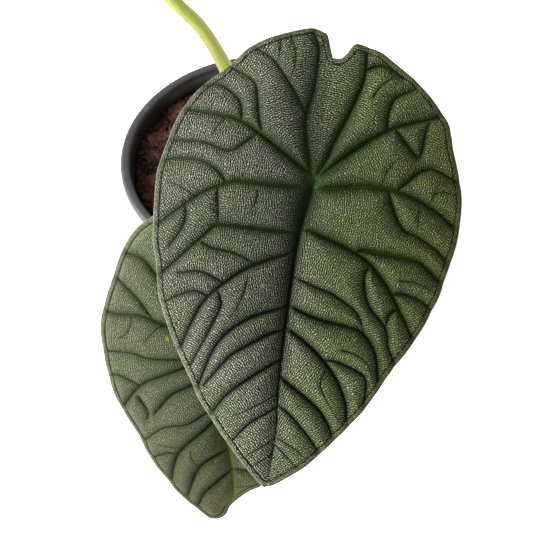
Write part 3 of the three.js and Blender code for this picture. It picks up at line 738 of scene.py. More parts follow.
class VeinRank(Enum):
    """The sorts of vein, the largest first."""

    MIDRIB = VeinSize(4.2, 1.0, 1.3, 0.8, 3.6)
    MAIN = VeinSize(2.8, 0.9, 0.7, 0.35, 1.5)
    SIDE = VeinSize(2.1, 0.7, 0.3, 0.35, 1.25)
    FINE = VeinSize(0.8, 0.45, 0.1, 0.6, 0.8)


Veins = list[tuple[VeinRank, np.ndarray]]


@dataclass(frozen=True)
class BladePattern:
    """A blade's outline and veins in its own plane: the stalk joins at 0, 0 and the tip points to -Y."""

    outline: Path2
    midrib: Path2
    main: list[Path2]
    side: list[Path2]
    fine: list[Path2]

    def veins(self) -> Iterable[tuple[VeinRank, Path2]]:
        """Gives every vein with its rank, the largest first."""
        yield VeinRank.MIDRIB, self.midrib
        smaller = {VeinRank.MAIN: self.main, VeinRank.SIDE: self.side, VeinRank.FINE: self.fine}
        for rank, paths in smaller.items():
            yield from ((rank, path) for path in paths)

    def turned_over(self, width: float, length: float, skew: float) -> "BladePattern":
        """Makes another blade of this one: its mirror image, narrower or shorter, and gently skewed.

        Args:
            width: The share of the width that is kept.
            length: The share of the length that is kept.
            skew: How fast the midrib bends sideways.

        Returns:
            The new pattern.
        """

        def turn(path: Path2) -> Path2:
            """Turns one path over."""
            return [[skew * y * y - width * x, length * y] for x, y in path]

        return BladePattern(
            outline=turn(self.outline)[::-1],
            midrib=turn(self.midrib),
            main=[turn(path) for path in self.main],
            side=[turn(path) for path in self.side],
            fine=[turn(path) for path in self.fine],
        )


def mirrored(paths: list[Path2], above: float, lift: float = 1.4, lift_reach: float = 10.0) -> list[Path2]:
    """Mirrors veins to the other side of the midrib, a little nearer the lobes.

    Args:
        paths: The veins of one side.
        above: Veins that reach below this height are left out, because the tip bends aside there.
        lift: How much nearer the lobes they are.
        lift_reach: How far from the midrib they are fully there.

    Returns:
        The veins of the other side.
    """
    kept = [path for path in paths if path[0][1] > above and path[-1][1] > above]
    return [[[-x, y + lift * min(1, abs(x) / lift_reach)] for x, y in path] for path in kept]


FRONT_PATTERN = BladePattern(
    outline=[
        [-9, 46.5], [-6, 46.5], [-4.2, 45.9], [-2.9, 45.1], [-0.5, 39], [0.5, 38.4], [2.4, 38.6],
        [4.1, 40.7], [5.6, 43.4], [7.2, 44.1], [10.6, 43.6], [13.9, 42.9], [17.4, 41.3], [28.1, 34.7],
        [37.6, 25.9], [40.1, 20.7], [41.3, 16.7], [44.8, 7.7], [46.7, 0], [47.2, -11.6], [45.1, -24.9],
        [43.7, -31.8], [38.9, -44.8], [32.6, -56.1], [28.9, -63.7], [25.1, -70.6], [17.1, -81.5],
        [11.6, -88], [8.7, -90.8], [2.9, -95.4], [0.4, -97.1], [-1, -97.3], [-3.2, -97], [-14, -86.4],
        [-25.2, -73.4], [-28.9, -67.4], [-35.7, -56.6], [-41.9, -44.2], [-43.6, -38.2], [-45, -31.8],
        [-47.1, -24.4], [-48.6, -7.2], [-48.3, -1.5], [-46.9, 5.1], [-46.2, 8.8], [-44.4, 14.5],
        [-42.1, 19], [-39.5, 23], [-36.6, 26.2], [-33.4, 29.1], [-28.9, 34.5], [-26.7, 37.3],
        [-23.3, 40], [-17.6, 43.1],
    ],
    midrib=[[0, 0], [-1.7, -13.4], [-2.3, -26], [-1.7, -63], [-0.5, -78.8], [-0.8, -95]],
    main=[
        [[0, 0], [-1.4, 2.9], [-5.1, 14.8], [-5.6, 19.4], [-4.5, 28.1], [-4.8, 40], [-7, 45]],
        [[0, 0], [3, 6.7], [4.6, 12.6], [8.2, 23.6], [10.6, 33.8], [10.1, 42]],
        [[0, 0], [12.5, 12.3], [20.3, 18.7], [24.3, 21], [32.6, 24.7], [35.5, 26]],
        [[0, 0], [1.3, -2.3], [12.8, -0.2], [19, 0.8], [29.5, 0.1], [39.3, -3.8], [45, -7.5]],
        [[-1.8, -15.5], [3.8, -16.3], [18.3, -21.3], [26.2, -28.1], [33, -37.3], [37.5, -44.5]],
        [[16.6, -20.3], [20.5, -19.4], [35.1, -20.1], [39, -22.1], [43.5, -25.6]],
        [[-1.9, -39.7], [7.6, -42.5], [17.6, -43.8], [21.8, -44.9], [26.6, -50.6], [28.8, -59]],
        [[-1.9, -46.9], [2.3, -48.8], [9.2, -53.5], [15.9, -60.6], [19.9, -68.1], [20.8, -73]],
        [[-1.6, -62.2], [10.3, -69.8], [15.2, -75.2], [17, -79]],
        [[0, 0], [-0.9, 2], [-5, 3.9], [-22.8, 13.7], [-32.5, 15.6], [-42, 16]],
        [[0, 0], [-1.3, -1.8], [-5.5, -3], [-21, -3.8], [-25.5, -4.8], [-34.2, -9.7], [-46.4, -21]],
        [[-1.9, -16.8], [-11.1, -17.4], [-26.3, -18], [-29.5, -20.3], [-35.7, -27.5], [-43, -36]],
        [
            [-2.1, -20.9], [-4.5, -23.8], [-9.2, -26], [-17.8, -31.1], [-26.9, -40.3], [-31, -49.1],
            [-33.6, -58],
        ],
        [[-2.2, -39.4], [-4.5, -41], [-12.7, -44.7], [-19.2, -50.1], [-23.3, -57], [-26.5, -69]],
        [[-2, -47.2], [-7, -49.5], [-15, -55.1], [-18.6, -58.8], [-24.6, -68]],
        [[-1.8, -56.7], [-9.6, -62.6], [-16.6, -69.3], [-20.8, -76]],
    ],
    side=[
        [[-5.6, 19.4], [-8, 22.8], [-17.3, 34], [-24, 37.8]],
        [[10.5, 36.6], [16.1, 39], [22.5, 36.2]],
        [[19.9, 19.2], [19.6, 22.7], [20, 26.5], [21.4, 29.6], [26.5, 33]],
        [[22.6, 19.7], [27.9, 14.6], [31.4, 12.3], [32, 20.4], [33.4, 25.4]],
        [[26.5, 1.1], [30.8, 6.2], [33.3, 8.4], [37.3, 9.2], [44.5, 6.5]],
        [[23.5, 0.2], [25.1, -4.2], [29.6, -10.8], [34.3, -12.4], [40.9, -15.7], [44.8, -19]],
        [[30.2, -31.6], [32.7, -31.1], [38.6, -32.4], [42.4, -35.2]],
        [[20.9, -24.4], [19.9, -27.7], [22.3, -35.6], [28.7, -42.3], [30.5, -48.2], [33.4, -53.6]],
        [[32.2, -36.1], [30.7, -36.7], [29.4, -38.4], [28.8, -43]],
        [[-2.2, -30.6], [6.9, -33.1], [11.8, -34.5], [19.3, -38.9], [22.3, -44.6]],
        [[12.3, -55], [16.4, -55.3], [23.7, -58], [25.4, -61.3], [25.6, -67.6]],
        [[-1, -71.4], [2.9, -73.5], [9.4, -79.5], [13.3, -84]],
        [[-24.8, 14.6], [-25.5, 18.6], [-27.2, 21.5], [-32.8, 24.8], [-38, 24]],
        [[-18.2, 12.5], [-19.9, 17.2], [-21.1, 22.4], [-23.1, 27.1], [-31, 31]],
        [[-19.3, 11.4], [-24.7, 6.1], [-28.3, 4.9], [-35.5, 6.5], [-45.6, 6]],
        [[-26.8, -4.7], [-28.8, -2.2], [-34.9, 0.7], [-42.8, 0.5], [-47.2, -0.8]],
        [[-29, -6.6], [-27, -17.8]],
        [[-38.2, -12.6], [-37.6, -19.1], [-41.6, -27.5]],
        [[-31.4, -24.1], [-27.4, -25.3], [-20.5, -25.9], [-13.4, -28.4]],
        [[-23.5, -35.1], [-30.4, -33], [-37.5, -34.7]],
        [[-27.2, -40], [-32.1, -39.3], [-40.6, -44.2]],
        [[-24.7, -37.4], [-23.1, -40.3], [-23.1, -44.7], [-30, -63.5]],
        [[-1.1, -71.9], [-8.8, -77.9], [-13.6, -84.4]],
    ],
    fine=[
        [[-14.1, 43], [-11.9, 38.9], [-11.4, 34.2], [-12.3, 28.1]],
        [[-17.1, 41.9], [-16.7, 38.2], [-17, 34]],
        [[-8.1, 43], [-5.2, 40.6]],
        [[-4.9, 40.3], [-2.6, 43.6]],
        [[14.1, 28], [15.7, 31.5], [20.3, 36.5]],
        [[36.8, -1.7], [37.9, 1.3], [40.2, 2.7], [44.1, 2.4]],
        [[21.2, 2.7], [22.2, 6.4], [24.7, 10.3]],
        [[33.5, -1.3], [34.3, -12.3]],
        [[31.1, -27.1], [34.9, -26.8], [38.2, -27.5], [41.6, -28.8]],
        [[16.4, -51], [19.6, -51.5], [22.6, -52.7], [25.2, -54.9], [26.5, -58]],
        [[12.1, -58.6], [11.3, -61.5], [12.4, -65.2], [19.1, -74.7]],
        [[0.2, -81.7], [6.6, -84.4], [9.4, -86.6]],
        [[0.2, -84.2], [2.6, -85.9], [7.3, -89.8]],
        [[-30.5, 14.8], [-33.5, 8.1]],
        [[-35.4, -10.3], [-41.8, -7.7], [-44.8, -7.3]],
        [[-16.6, -5.7], [-16.6, -9.7], [-18.6, -13.4]],
        [[-15.7, -32.3], [-16, -36.7], [-17.3, -41.3], [-19.2, -45.7]],
        [[-1.7, -67.8], [-10.9, -73.9], [-15.3, -76.5]],
        [[-0.7, -82.1], [-8.4, -88.1]],
        [[-0.7, -87], [-6.1, -91.3]],
    ],
)

LOWER_TIP = -56.0
LOWER_MAIN: list[Path2] = [
    [[0, 0], [-3.5, 9], [-6.5, 18], [-8.5, 27], [-9.5, 43.6]],
    [[0, 0], [-6, 4.5], [-13, 10], [-23.7, 18.8], [-26.9, 22.5], [-30.2, 24.3], [-35, 24.9]],
    [[0, 0], [-6, -1.2], [-20.2, 1], [-28.7, 3.4], [-37.6, 2.7], [-42, 3]],
    [[-0.5, -10], [-7.5, -12], [-19.7, -17.2], [-29.6, -23], [-36.4, -33]],
    [[-0.3, -17.5], [-6, -19], [-16.3, -23.7], [-19.9, -26.7], [-24.6, -33]],
    [[0, -32], [-5.2, -37], [-15.6, -47.8], [-19.3, -57.4], [-20.2, -64]],
    [[1, -48.5], [-7.8, -53.7], [-11.3, -59.5], [-14.6, -71]],
    [[1.6, -58.3], [-3.5, -63.1], [-8.3, -68.6], [-11, -76]],
]
LOWER_SIDE: list[Path2] = [
    [[-24, 1.8], [-26.9, 5.4], [-30.2, 9.4], [-39, 16.6]],
    [[-6, -11.4], [-16.3, -11.3], [-27.1, -11.7], [-32.3, -10.8], [-42.2, -12.1]],
    [[-29.9, -23.1], [-36.8, -21], [-40.5, -21.3]],
    [[-30.8, -28], [-27.4, -33.8], [-28.3, -37.3]],
    [[-0.2, -27], [-11.9, -35.7], [-18.8, -37.6], [-23.1, -39.8], [-29.5, -47]],
    [[-17.5, -50.2], [-21.2, -50.7], [-26, -54]],
]
LOWER_FINE: list[Path2] = [
    [[-32.6, 2.7], [-33, -1.1], [-34.9, -3.9], [-37.5, -5.7]],
    [[-20, 1], [-23.4, -0.2], [-28.3, -6.1]],
    [[-15.9, -46.5], [-24.3, -46.3]],
    [[-12.6, -47.6], [-12.0, -51.0], [-9.9, -55.2]],
]
LOWER_PATTERN = BladePattern(
    outline=[
        [-25.7, 38.1], [-21.5, 40.8], [-16, 43.6], [-10.5, 45.2], [-6, 44.6], [-3, 42], [-1.4, 38.8],
        [0.4, 36.8], [2.4, 37.2], [3.8, 40], [6, 43.4], [10, 45.6], [15.5, 45], [21.5, 42], [27.5, 37.6],
        [33, 31.8], [37.5, 24.6], [40.8, 16.2], [42.8, 6.5], [43.3, -3.5], [42.3, -13.5], [39.8, -23],
        [36.3, -32], [32, -40.5], [27, -48.5], [21.5, -55.8], [12.6, -64.3], [7.9, -67.4], [3.2, -72.1],
        [0.2, -76.2], [-0.8, -79.1], [-2.8, -81.4], [-5.2, -82.3], [-8.5, -81.2], [-16.5, -73.1],
        [-20.9, -66.7], [-27.9, -55.1], [-32.7, -43.4], [-38.8, -32.4], [-42, -21.4], [-43.9, -8.8],
        [-44.1, -1], [-42.5, 6.4], [-38.9, 17.8], [-35.8, 26.6], [-31.2, 33.7],
    ],
    midrib=[[0, 0], [-0.6, -20], [-0.4, -45], [0.6, -50.7], [2, -67.2], [0.4, -75]],
    main=[*LOWER_MAIN, *mirrored(LOWER_MAIN, LOWER_TIP)],
    side=[*LOWER_SIDE, *mirrored(LOWER_SIDE, LOWER_TIP), [[1.7, -57.6], [8.6, -58.5], [15, -60.5]]],
    fine=[*LOWER_FINE, *mirrored(LOWER_FINE, LOWER_TIP), [[2, -66.2], [10.4, -63.8]]],
)


# Blades


@dataclass(frozen=True)
class BladeForm:
    """How a flat blade is bent and hung: heading turns it from -Y towards -X, and slope tips it down."""

    joint: Triple
    heading: float
    slope: float
    bend: float
    bank: float
    droop_left: float
    droop_right: float

    def place(self, flat: np.ndarray, height: np.ndarray) -> np.ndarray:
        """Puts points of the flat blade where they hang.

        Args:
            flat: Places in the blade's own plane, one a row.
            height: How far each stands above the blade's sheet.

        Returns:
            Places in the plant's frame, one a row.
        """
        x, y = flat[:, 0], flat[:, 1]
        degrees = (self.heading, self.slope, self.bend, self.bank)
        heading, slope, bend, bank = (math.radians(value) for value in degrees)
        ahead = np.array([-math.sin(heading), -math.cos(heading), 0.0])
        across = np.array([math.cos(heading), -math.sin(heading), 0.0])
        up = np.array([0.0, 0.0, 1.0])
        angle = (slope - bend * y)[:, None]
        along = np.cos(angle) * ahead - np.sin(angle) * up
        square = np.cross(along, across)
        side = math.cos(bank) * across - math.sin(bank) * square
        normal = math.cos(bank) * square + math.sin(bank) * across
        forward = (np.sin(angle) - math.sin(slope)) / bend
        rise = (np.cos(angle) - math.cos(slope)) / bend
        droop = np.where(x < 0, self.droop_left, self.droop_right) * x * x
        middle = np.array(self.joint) + forward * ahead + rise * up
        return middle + x[:, None] * side + (height - droop)[:, None] * normal

    def hub(self, height: float) -> tuple[np.ndarray, np.ndarray]:
        """Gives the place above or below the joint at a height, and the blade's normal there."""
        places = self.place(np.zeros((2, 2)), np.array([height, height + 1]))
        return places[0], places[1] - places[0]


class PointCloud:
    """Flat points that keep their distance from each other."""

    def __init__(self, cell: float) -> None:
        """Starts an empty cloud.

        Args:
            cell: The largest clearance that will be asked for.
        """
        self.cell = cell
        self.points: list[tuple[float, float]] = []
        self.cells: dict[tuple[int, int], list[int]] = {}

    def nearest(self, x: float, y: float, clearance: float) -> int:
        """Finds the point within a clearance of a place, or -1."""
        column, row = int(x // self.cell), int(y // self.cell)
        best, best_square = -1, clearance * clearance
        for i in (column - 1, column, column + 1):
            for j in (row - 1, row, row + 1):
                for index in self.cells.get((i, j), ()):
                    px, py = self.points[index]
                    square = (px - x) ** 2 + (py - y) ** 2
                    if square < best_square:
                        best, best_square = index, square
        return best

    def add(self, places: np.ndarray, clearance: float) -> list[int]:
        """Adds points where there is room.

        Args:
            places: The new points, one a row.
            clearance: How far each must be from the points that are there.

        Returns:
            Each place's number: its own, or that of the point already there.
        """
        numbers = []
        for x, y in places.tolist():
            index = self.nearest(x, y, clearance)
            if index < 0:
                index = len(self.points)
                self.points.append((x, y))
                self.cells.setdefault((int(x // self.cell), int(y // self.cell)), []).append(index)
            numbers.append(index)
        return numbers


def vein_directions(flat: np.ndarray, paths: list[np.ndarray], reach: float) -> np.ndarray:
    """Gives the direction in which the veins run past each flat place.

    Args:
        flat: The places, one a row.
        paths: The veins.
        reach: How far each stretch of a vein counts.

    Returns:
        Unit vectors, one a row, at twice the direction's angle, so that both ways along a vein are the same.
    """
    starts = np.vstack([path[:-1] for path in paths])
    ends = np.vstack([path[1:] for path in paths])
    (x, y), middles = (ends - starts).T, (starts + ends) / 2
    doubled = np.column_stack([x * x - y * y, 2 * x * y]) / np.hypot(x, y)[:, None]
    flow = np.zeros(flat.shape)
    for middle, way in zip(middles, doubled):
        square = ((flat - middle) ** 2).sum(axis=1)
        flow += way / ((square + reach**2) ** 2)[:, None]
    return flow / (np.linalg.norm(flow, axis=1)[:, None] + 1e-12)


@dataclass(frozen=True)
class Groove:
    """A groove's section: part of its depth falls off in a narrow crease, the rest in a round slope."""

    share: float
    crease: float
    slope: float

    def shape(self, distance: np.ndarray) -> np.ndarray:
        """Gives the share of the depth that is left at a distance."""
        narrow, wide = np.exp(-distance / self.crease), np.exp(-distance / self.slope)
        return self.share * narrow + (1 - self.share) * wide


@dataclass(frozen=True)
class BladeTints:
    """The slow changes of colour over a blade. A span is where a change starts and how long it takes."""

    glow_floor: float = 0.05
    glow_reach: float = 38.0
    glow_right: float = 24.0
    glow_turn: Span = (10.0, 15.0)
    glow_length: float = 42.0
    glow_sides: Span = (0.75, 0.95)
    tip_streak: float = 0.0
    tip_streak_span: Span = (20.0, 15.0)
    streak_width: float = 1.4
    hub_streak: float = 0.9
    hub_streak_radius: float = 1.7
    bloom: float = 0.66
    tip_bloom: float = 1.0
    tip_bloom_span: Span = (35.0, 50.0)
    lobe_bloom: float = 0.2
    lobe_span: Span = (22.0, 12.0)
    right_warmth: float = 0.7
    right_warmth_span: Span = (21.0, 25.0)
    tip_warmth: float = 0.0
    tip_warmth_span: Span = (36.0, 38.0)
    midrib_warmth: float = 0.0
    midrib_warmth_span: Span = (22.0, 25.0)
    midrib_warmth_width: float = 7.0
    specks: tuple[Span, ...] = ()
    speck_radius: float = 0.55
    half_width: float = 46.0

    def spread(self, flat: np.ndarray, midrib: np.ndarray, lively: np.ndarray) -> dict[str, np.ndarray]:
        """Works out the tints for each flat point.

        Args:
            flat: The blade's flat points.
            midrib: The midrib's path.
            lively: How strong the nearest vein is.

        Returns:
            Arrays by name.
        """
        x, y = flat[:, 0], flat[:, 1]
        hub = np.hypot(x, y)
        tail, _ = path_distance(flat, midrib)
        reach = self.glow_reach + self.glow_right * rise(x, *self.glow_turn)
        glow = np.clip((y + reach) / self.glow_length, self.glow_floor, 1) * np.where(x < 0, *self.glow_sides)
        streak = self.tip_streak * rise(-y, *self.tip_streak_span) * bell(tail, self.streak_width)
        bloom = self.bloom + (self.tip_bloom - self.bloom) * rise(-y, *self.tip_bloom_span)
        warmth = self.right_warmth * rise(x, *self.right_warmth_span)
        tip_warmth = self.tip_warmth * rise(-y, *self.tip_warmth_span)
        olive = self.midrib_warmth * rise(-y, *self.midrib_warmth_span) * bell(tail, self.midrib_warmth_width)
        speck = np.zeros(len(flat))
        for place in self.specks:
            speck = np.maximum(speck, bell(np.hypot(*(flat - place).T), self.speck_radius))
        return {
            "glow": np.clip(glow, 0, 1) * lively,
            "bloom": bloom + self.lobe_bloom * rise(y, *self.lobe_span),
            "warmth": np.maximum.reduce([warmth, tip_warmth, olive]),
            "streak": np.maximum(streak, self.hub_streak * bell(hub, self.hub_streak_radius)),
            "speck": speck,
            "side": np.clip(x / self.half_width, -1, 1),
        }


@dataclass
class LeafBlade:
    """One blade: a thick leathery plate with sunken veins, rounded pillows and ribs beneath."""

    name: str
    node: str
    slot: str
    pattern: BladePattern
    form: BladeForm
    finish: BladeFinish
    tints: BladeTints = BladeTints()
    seed: int = 7
    spacing: float = 0.6
    outline_step: float = 0.5
    measure_step: float = 1.2
    midrib_step: float = 1.5
    flow_step: float = 2.0
    flow_reach: float = 4.0
    rim_clearance: float = 0.05
    chain_clearance: float = 0.3
    flank_clearance: float = 0.27
    grid_clearance: float = 0.72
    near_flank: float = 0.34
    far_flank: float = 0.8
    rim_flanks: tuple[float, ...] = (-0.8, -0.4, 0.4, 0.8)
    thickness: float = 0.9
    rim_thickness: float = 0.6
    rim_taper: float = 0.9
    rim_drop: float = 0.25
    rim_drop_width: float = 0.5
    rim_round: float = 0.12
    submargin_inset: float = 1.7
    submargin_depth: float = 0.85
    submargin_right: float = 0.7
    submargin_sides: Span = (0.45, 0.4)
    submargin_glow: float = 0.1
    submargin_groove: Groove = Groove(0.5, 0.4, 1.6)
    midrib_groove: Groove = Groove(0.25, 0.8, 5.5)
    vein_groove: Groove = Groove(0.3, 0.85, 3.6)
    vein_reach: float = 16.0
    groove_scale: float = 1.0
    hollow_scale: float = 1.0
    right_reach: float = 12.0
    right_depth: float = 0.6
    # The valleys' painted shade, with their greener skin, widens on the right half and narrows right of the
    # midrib, so it is widest where the blade faces away from the light.
    right_hollow: float = 0.2
    midrib_right: float = 0.55
    camber_left: float = 4.2
    camber_right: float = 1.9
    camber_power: float = 1.5
    full_width: float = 32.0
    spine_top: float = 38.0
    swell: float = 0.22
    swell_lengths: Triple = (6.1, 9.7, 7.3)
    swell_bend: float = 1.3
    swell_margin: float = 6.0
    rib_width: float = 1.4
    hub_boss: float = 0.4
    hub_radius: float = 3.2
    hub_reach: float = 17.0
    hub_widening: float = 1.0

    def build(self) -> bpy.types.Object:
        """Builds the blade and dresses it.

        Returns:
            The finished piece.
        """
        outline = smooth_path(self.pattern.outline, self.outline_step, closed=True)
        coarse = smooth_path(self.pattern.outline, self.measure_step, closed=True)
        if self.turns_right(outline):
            outline, coarse = outline[::-1], coarse[::-1]
        veins = [(rank, smooth_path(path, self.spacing)) for rank, path in self.pattern.veins()]
        flat, triangles = self.net(outline, coarse, veins)
        piece = self.solid(flat, triangles, self.relief(flat, coarse, veins))
        piece.data.materials.append(self.finish.build())
        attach(piece, BODY)
        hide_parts(self.node)
        return piece

    @staticmethod
    def turns_right(outline: np.ndarray) -> bool:
        """Tells whether an outline runs clockwise."""
        after = np.roll(outline, -1, axis=0)
        return float((outline[:, 0] * after[:, 1] - after[:, 0] * outline[:, 1]).sum()) < 0

    def net(self, outline: np.ndarray, coarse: np.ndarray, veins: Veins) -> tuple[np.ndarray, np.ndarray]:
        """Fills the outline with triangles whose edges follow the veins.

        Args:
            outline: The blade's outline, finely sampled, anticlockwise.
            coarse: The same outline with fewer points, for measuring.
            veins: Every vein with its rank.

        Returns:
            The flat points and the triangles between them.
        """
        cloud = PointCloud(self.spacing)
        rim = cloud.add(outline, self.rim_clearance)
        edges = [(a, b) for a, b in zip(rim, rim[1:] + rim[:1]) if a != b]
        inward = side_normals(outline, closed=True)

        def kept(places: np.ndarray, gap: float) -> np.ndarray:
            """Keeps the places that lie inside the outline by more than a gap."""
            within = is_inside(places, coarse) & (path_distance(places, coarse, closed=True)[0] > gap)
            return places[within]

        for _, path in veins:
            chain = cloud.add(kept(path, self.submargin_inset - 0.1), self.chain_clearance)
            edges += [(a, b) for a, b in zip(chain, chain[1:]) if a != b]
        band = outline + inward * self.submargin_inset
        cloud.add(kept(band, self.submargin_inset - 0.2), self.chain_clearance)
        flanks = []
        for _, path in veins:
            normals = side_normals(path)
            middles = (path[1:] + path[:-1]) / 2
            flanks += [middles + normals[1:] * offset for offset in (-self.near_flank, self.near_flank)]
            flanks += [path + normals * offset for offset in (-self.far_flank, self.far_flank)]
        flanks += [outline + inward * (self.submargin_inset + offset) for offset in self.rim_flanks]
        cloud.add(kept(np.vstack(flanks), 0.25), self.flank_clearance)
        low, high = outline.min(axis=0), outline.max(axis=0)
        columns = np.arange(low[0], high[0], self.spacing)
        rows = np.arange(low[1], high[1], self.spacing * math.cos(math.pi / 6))
        shift = self.spacing / 2
        grid = [[x + (row % 2) * shift, y] for row, y in enumerate(rows) for x in columns]
        cloud.add(kept(np.array(grid), 0.3), self.spacing * self.grid_clearance)
        points = [Vector(point) for point in cloud.points]
        made, _, faces, *_ = delaunay_2d_cdt(points, edges, [], 0, 1e-5, False)
        places, triangles = np.array([list(place) for place in made]), np.array(faces)
        return places, triangles[is_inside(places[triangles].mean(axis=1), outline)]

    def relief(self, flat: np.ndarray, coarse: np.ndarray, veins: Veins) -> dict[str, np.ndarray]:
        """Works out heights, thickness and what the skin's finish reads, for each flat point.

        Args:
            flat: The blade's flat points.
            coarse: Its outline.
            veins: Every vein with its rank.

        Returns:
            Arrays by name.
        """
        edge, _ = path_distance(flat, coarse, closed=True)
        inset = np.abs(edge - self.submargin_inset)
        left = flat[:, 0] < 0
        dip = np.where(left, self.submargin_depth, self.submargin_right * self.submargin_depth)
        dip = dip * self.submargin_groove.shape(inset)
        vein_gap, strength = inset.copy(), np.where(left, *self.submargin_sides)
        lively = np.full(len(flat), self.submargin_glow)
        rib, hollow = np.zeros(len(flat)), np.zeros(len(flat))
        hub = np.hypot(flat[:, 0], flat[:, 1])
        near_hub = bell(hub, self.hub_reach)
        to_right = rise(flat[:, 0], 0, self.right_reach)
        for rank, path in veins:
            size = rank.value
            low, high = path.min(axis=0) - self.vein_reach, path.max(axis=0) + self.vein_reach
            near = np.nonzero(((flat > low) & (flat < high)).all(axis=1))[0]
            distance, share = path_distance(flat[near], path[::2] if len(path) > 8 else path)
            fade = 1 - size.fading * share**2
            # The valleys' greener skin and painted shade reach further near the hub, on the right half and
            # left of the midrib, which face away from the light.
            spread = self.hollow_scale * size.hollow * (1 + self.hub_widening * near_hub[near])
            spread = spread * (1 + self.right_hollow * to_right[near])
            groove = self.vein_groove
            if rank is VeinRank.MIDRIB:
                groove = self.midrib_groove
                spread = np.where(flat[near, 0] > path[:, 0].mean(), self.midrib_right, 1.0) * spread
            depth = self.groove_scale * size.depth * (1 + self.right_depth * to_right[near])
            dip[near] = np.maximum(dip[near], depth * fade * groove.shape(distance))
            rib[near] = np.maximum(rib[near], size.rib * fade * bell(distance, self.rib_width))
            hollow[near] = np.maximum(hollow[near], size.strength * fade * bell(distance, spread))
            closer = distance < vein_gap[near]
            vein_gap[near[closer]] = distance[closer]
            for stored in (strength, lively):
                stored[near[closer]] = (size.strength * fade)[closer]
        drop = self.rim_drop * np.exp(-edge / self.rim_drop_width)
        body = self.thickness + (self.rim_thickness - self.thickness) * np.exp(-edge / self.rim_taper)
        return {
            "height": self.bulge(flat, edge) - dip - drop,
            "thickness": body + rib + self.hub_boss * bell(hub, self.hub_radius),
            "edge_gap": edge,
            "vein_gap": vein_gap,
            "vein_strength": strength,
            "hollow": hollow,
            **self.tints.spread(flat, smooth_path(self.pattern.midrib, self.midrib_step), lively),
        }

    def bulge(self, flat: np.ndarray, edge: np.ndarray) -> np.ndarray:
        """Gives the height of the blade's large form: each half's camber, and a slow uneven swell.

        Args:
            flat: The blade's flat points.
            edge: How far each is from the outline.

        Returns:
            The heights.
        """
        x, y = flat[:, 0], flat[:, 1]
        length, bend_length, row_length = self.swell_lengths
        swell = self.swell * np.sin(x / length + self.swell_bend * np.sin(y / bend_length))
        swell = swell * np.sin(y / row_length + self.seed)
        spine = smooth_path([[0, self.spine_top], *self.pattern.midrib], self.midrib_step)
        fold, _ = path_distance(flat, spine)
        width = fold + edge + 0.01
        camber = np.where(x < 0, self.camber_left, self.camber_right) * np.sin(math.pi * fold / width)
        camber = camber * rise(width, 0, self.full_width) ** self.camber_power
        return swell * rise(edge, 0, self.swell_margin) + camber

    def solid(
        self, flat: np.ndarray, triangles: np.ndarray, relief: dict[str, np.ndarray]
    ) -> bpy.types.Object:
        """Closes the two faces and the rounded rim into one body.

        Args:
            flat: The flat points.
            triangles: The triangles between them.
            relief: What relief() gave for the points.

        Returns:
            The undressed piece, with its maps and stored distances.
        """
        count = len(flat)
        triangles = turned_up(flat, triangles)
        sides = np.vstack([triangles[:, [0, 1]], triangles[:, [1, 2]], triangles[:, [2, 0]]])
        known = set(map(tuple, sides.tolist()))
        open_sides = [(i, j) for i, j in known if (j, i) not in known]
        follows = dict(open_sides)
        before = {j: i for i, j in open_sides}
        rim = np.array(sorted(follows))
        ahead = unit_rows(flat[[follows[k] for k in rim]] - flat[[before[k] for k in rim]])
        outward = np.column_stack([ahead[:, 1], -ahead[:, 0]])
        middle = {int(k): 2 * count + n for n, k in enumerate(rim)}
        height, thickness = relief["height"], relief["thickness"]
        points = np.vstack([
            self.form.place(flat, height),
            self.form.place(flat, height - thickness),
            self.form.place(flat[rim] + outward * self.rim_round, (height - thickness / 2)[rim]),
        ])
        faces = [*triangles.tolist(), *(triangles[:, ::-1] + count).tolist()]
        for i, j in open_sides:
            faces.append([j, i, middle[i], middle[j]])
            faces.append([middle[j], middle[i], i + count, j + count])
        piece = make_object(self.name, points, faces)
        for name, values in relief.items():
            if name not in ("height", "thickness"):
                add_attribute(piece, name, np.concatenate([values, values, values[rim]]))
        upper = np.concatenate([np.ones(count), np.zeros(count), np.full(len(rim), 0.9)])
        add_attribute(piece, "upper", upper)
        paths = [smooth_path(path, self.flow_step) for path in (*self.pattern.main, *self.pattern.side)]
        for name, places in (("flat", flat), ("run", vein_directions(flat, paths, self.flow_reach))):
            add_uv_map(piece, name, np.vstack([places, places, places[rim]]))
        return piece


# Stalks


@dataclass(frozen=True)
class Stalk:
    """One leaf stalk: its route from the stem base to just under its blade."""

    form: BladeForm
    route: Path2
    turn: float
    girth: float = 1.0


@dataclass(frozen=True)
class Shell:
    """A closed tube that is still to join its piece."""

    points: np.ndarray
    faces: list[list[int]]
    stored: dict[str, np.ndarray]
    skin: np.ndarray


@dataclass(frozen=True)
class Sheath:
    """The folded sheath at a stalk's foot. Angles are in radians round the stalk, from the slit."""

    radius: float = 3.9
    length: float = 0.5
    slit_width: float = 0.28
    slit_depth: float = 0.34
    lip_angle: float = 0.5
    lip_width: float = 0.22
    lip_height: float = 0.12
    edge_angle: float = 0.36
    edge_width: float = 0.07
    edge_rate: float = 1.6

    def fold(self, angle: np.ndarray, share: float) -> np.ndarray:
        """Gives the factor by which the slit and its lips change the radius."""
        slit = bell(angle - math.pi, self.slit_width)
        lips = bell(np.abs(angle - math.pi) - self.lip_angle, self.lip_width)
        return 1 - self.slit_depth * share * slit + self.lip_height * share * lips

    def edge(self, angle: np.ndarray, share: float) -> np.ndarray:
        """Gives how much of the sheath's dry edge shows."""
        line = bell(np.abs(angle - math.pi) - self.edge_angle, self.edge_width)
        return np.clip(share * self.edge_rate - 0.1, 0, 1) * line


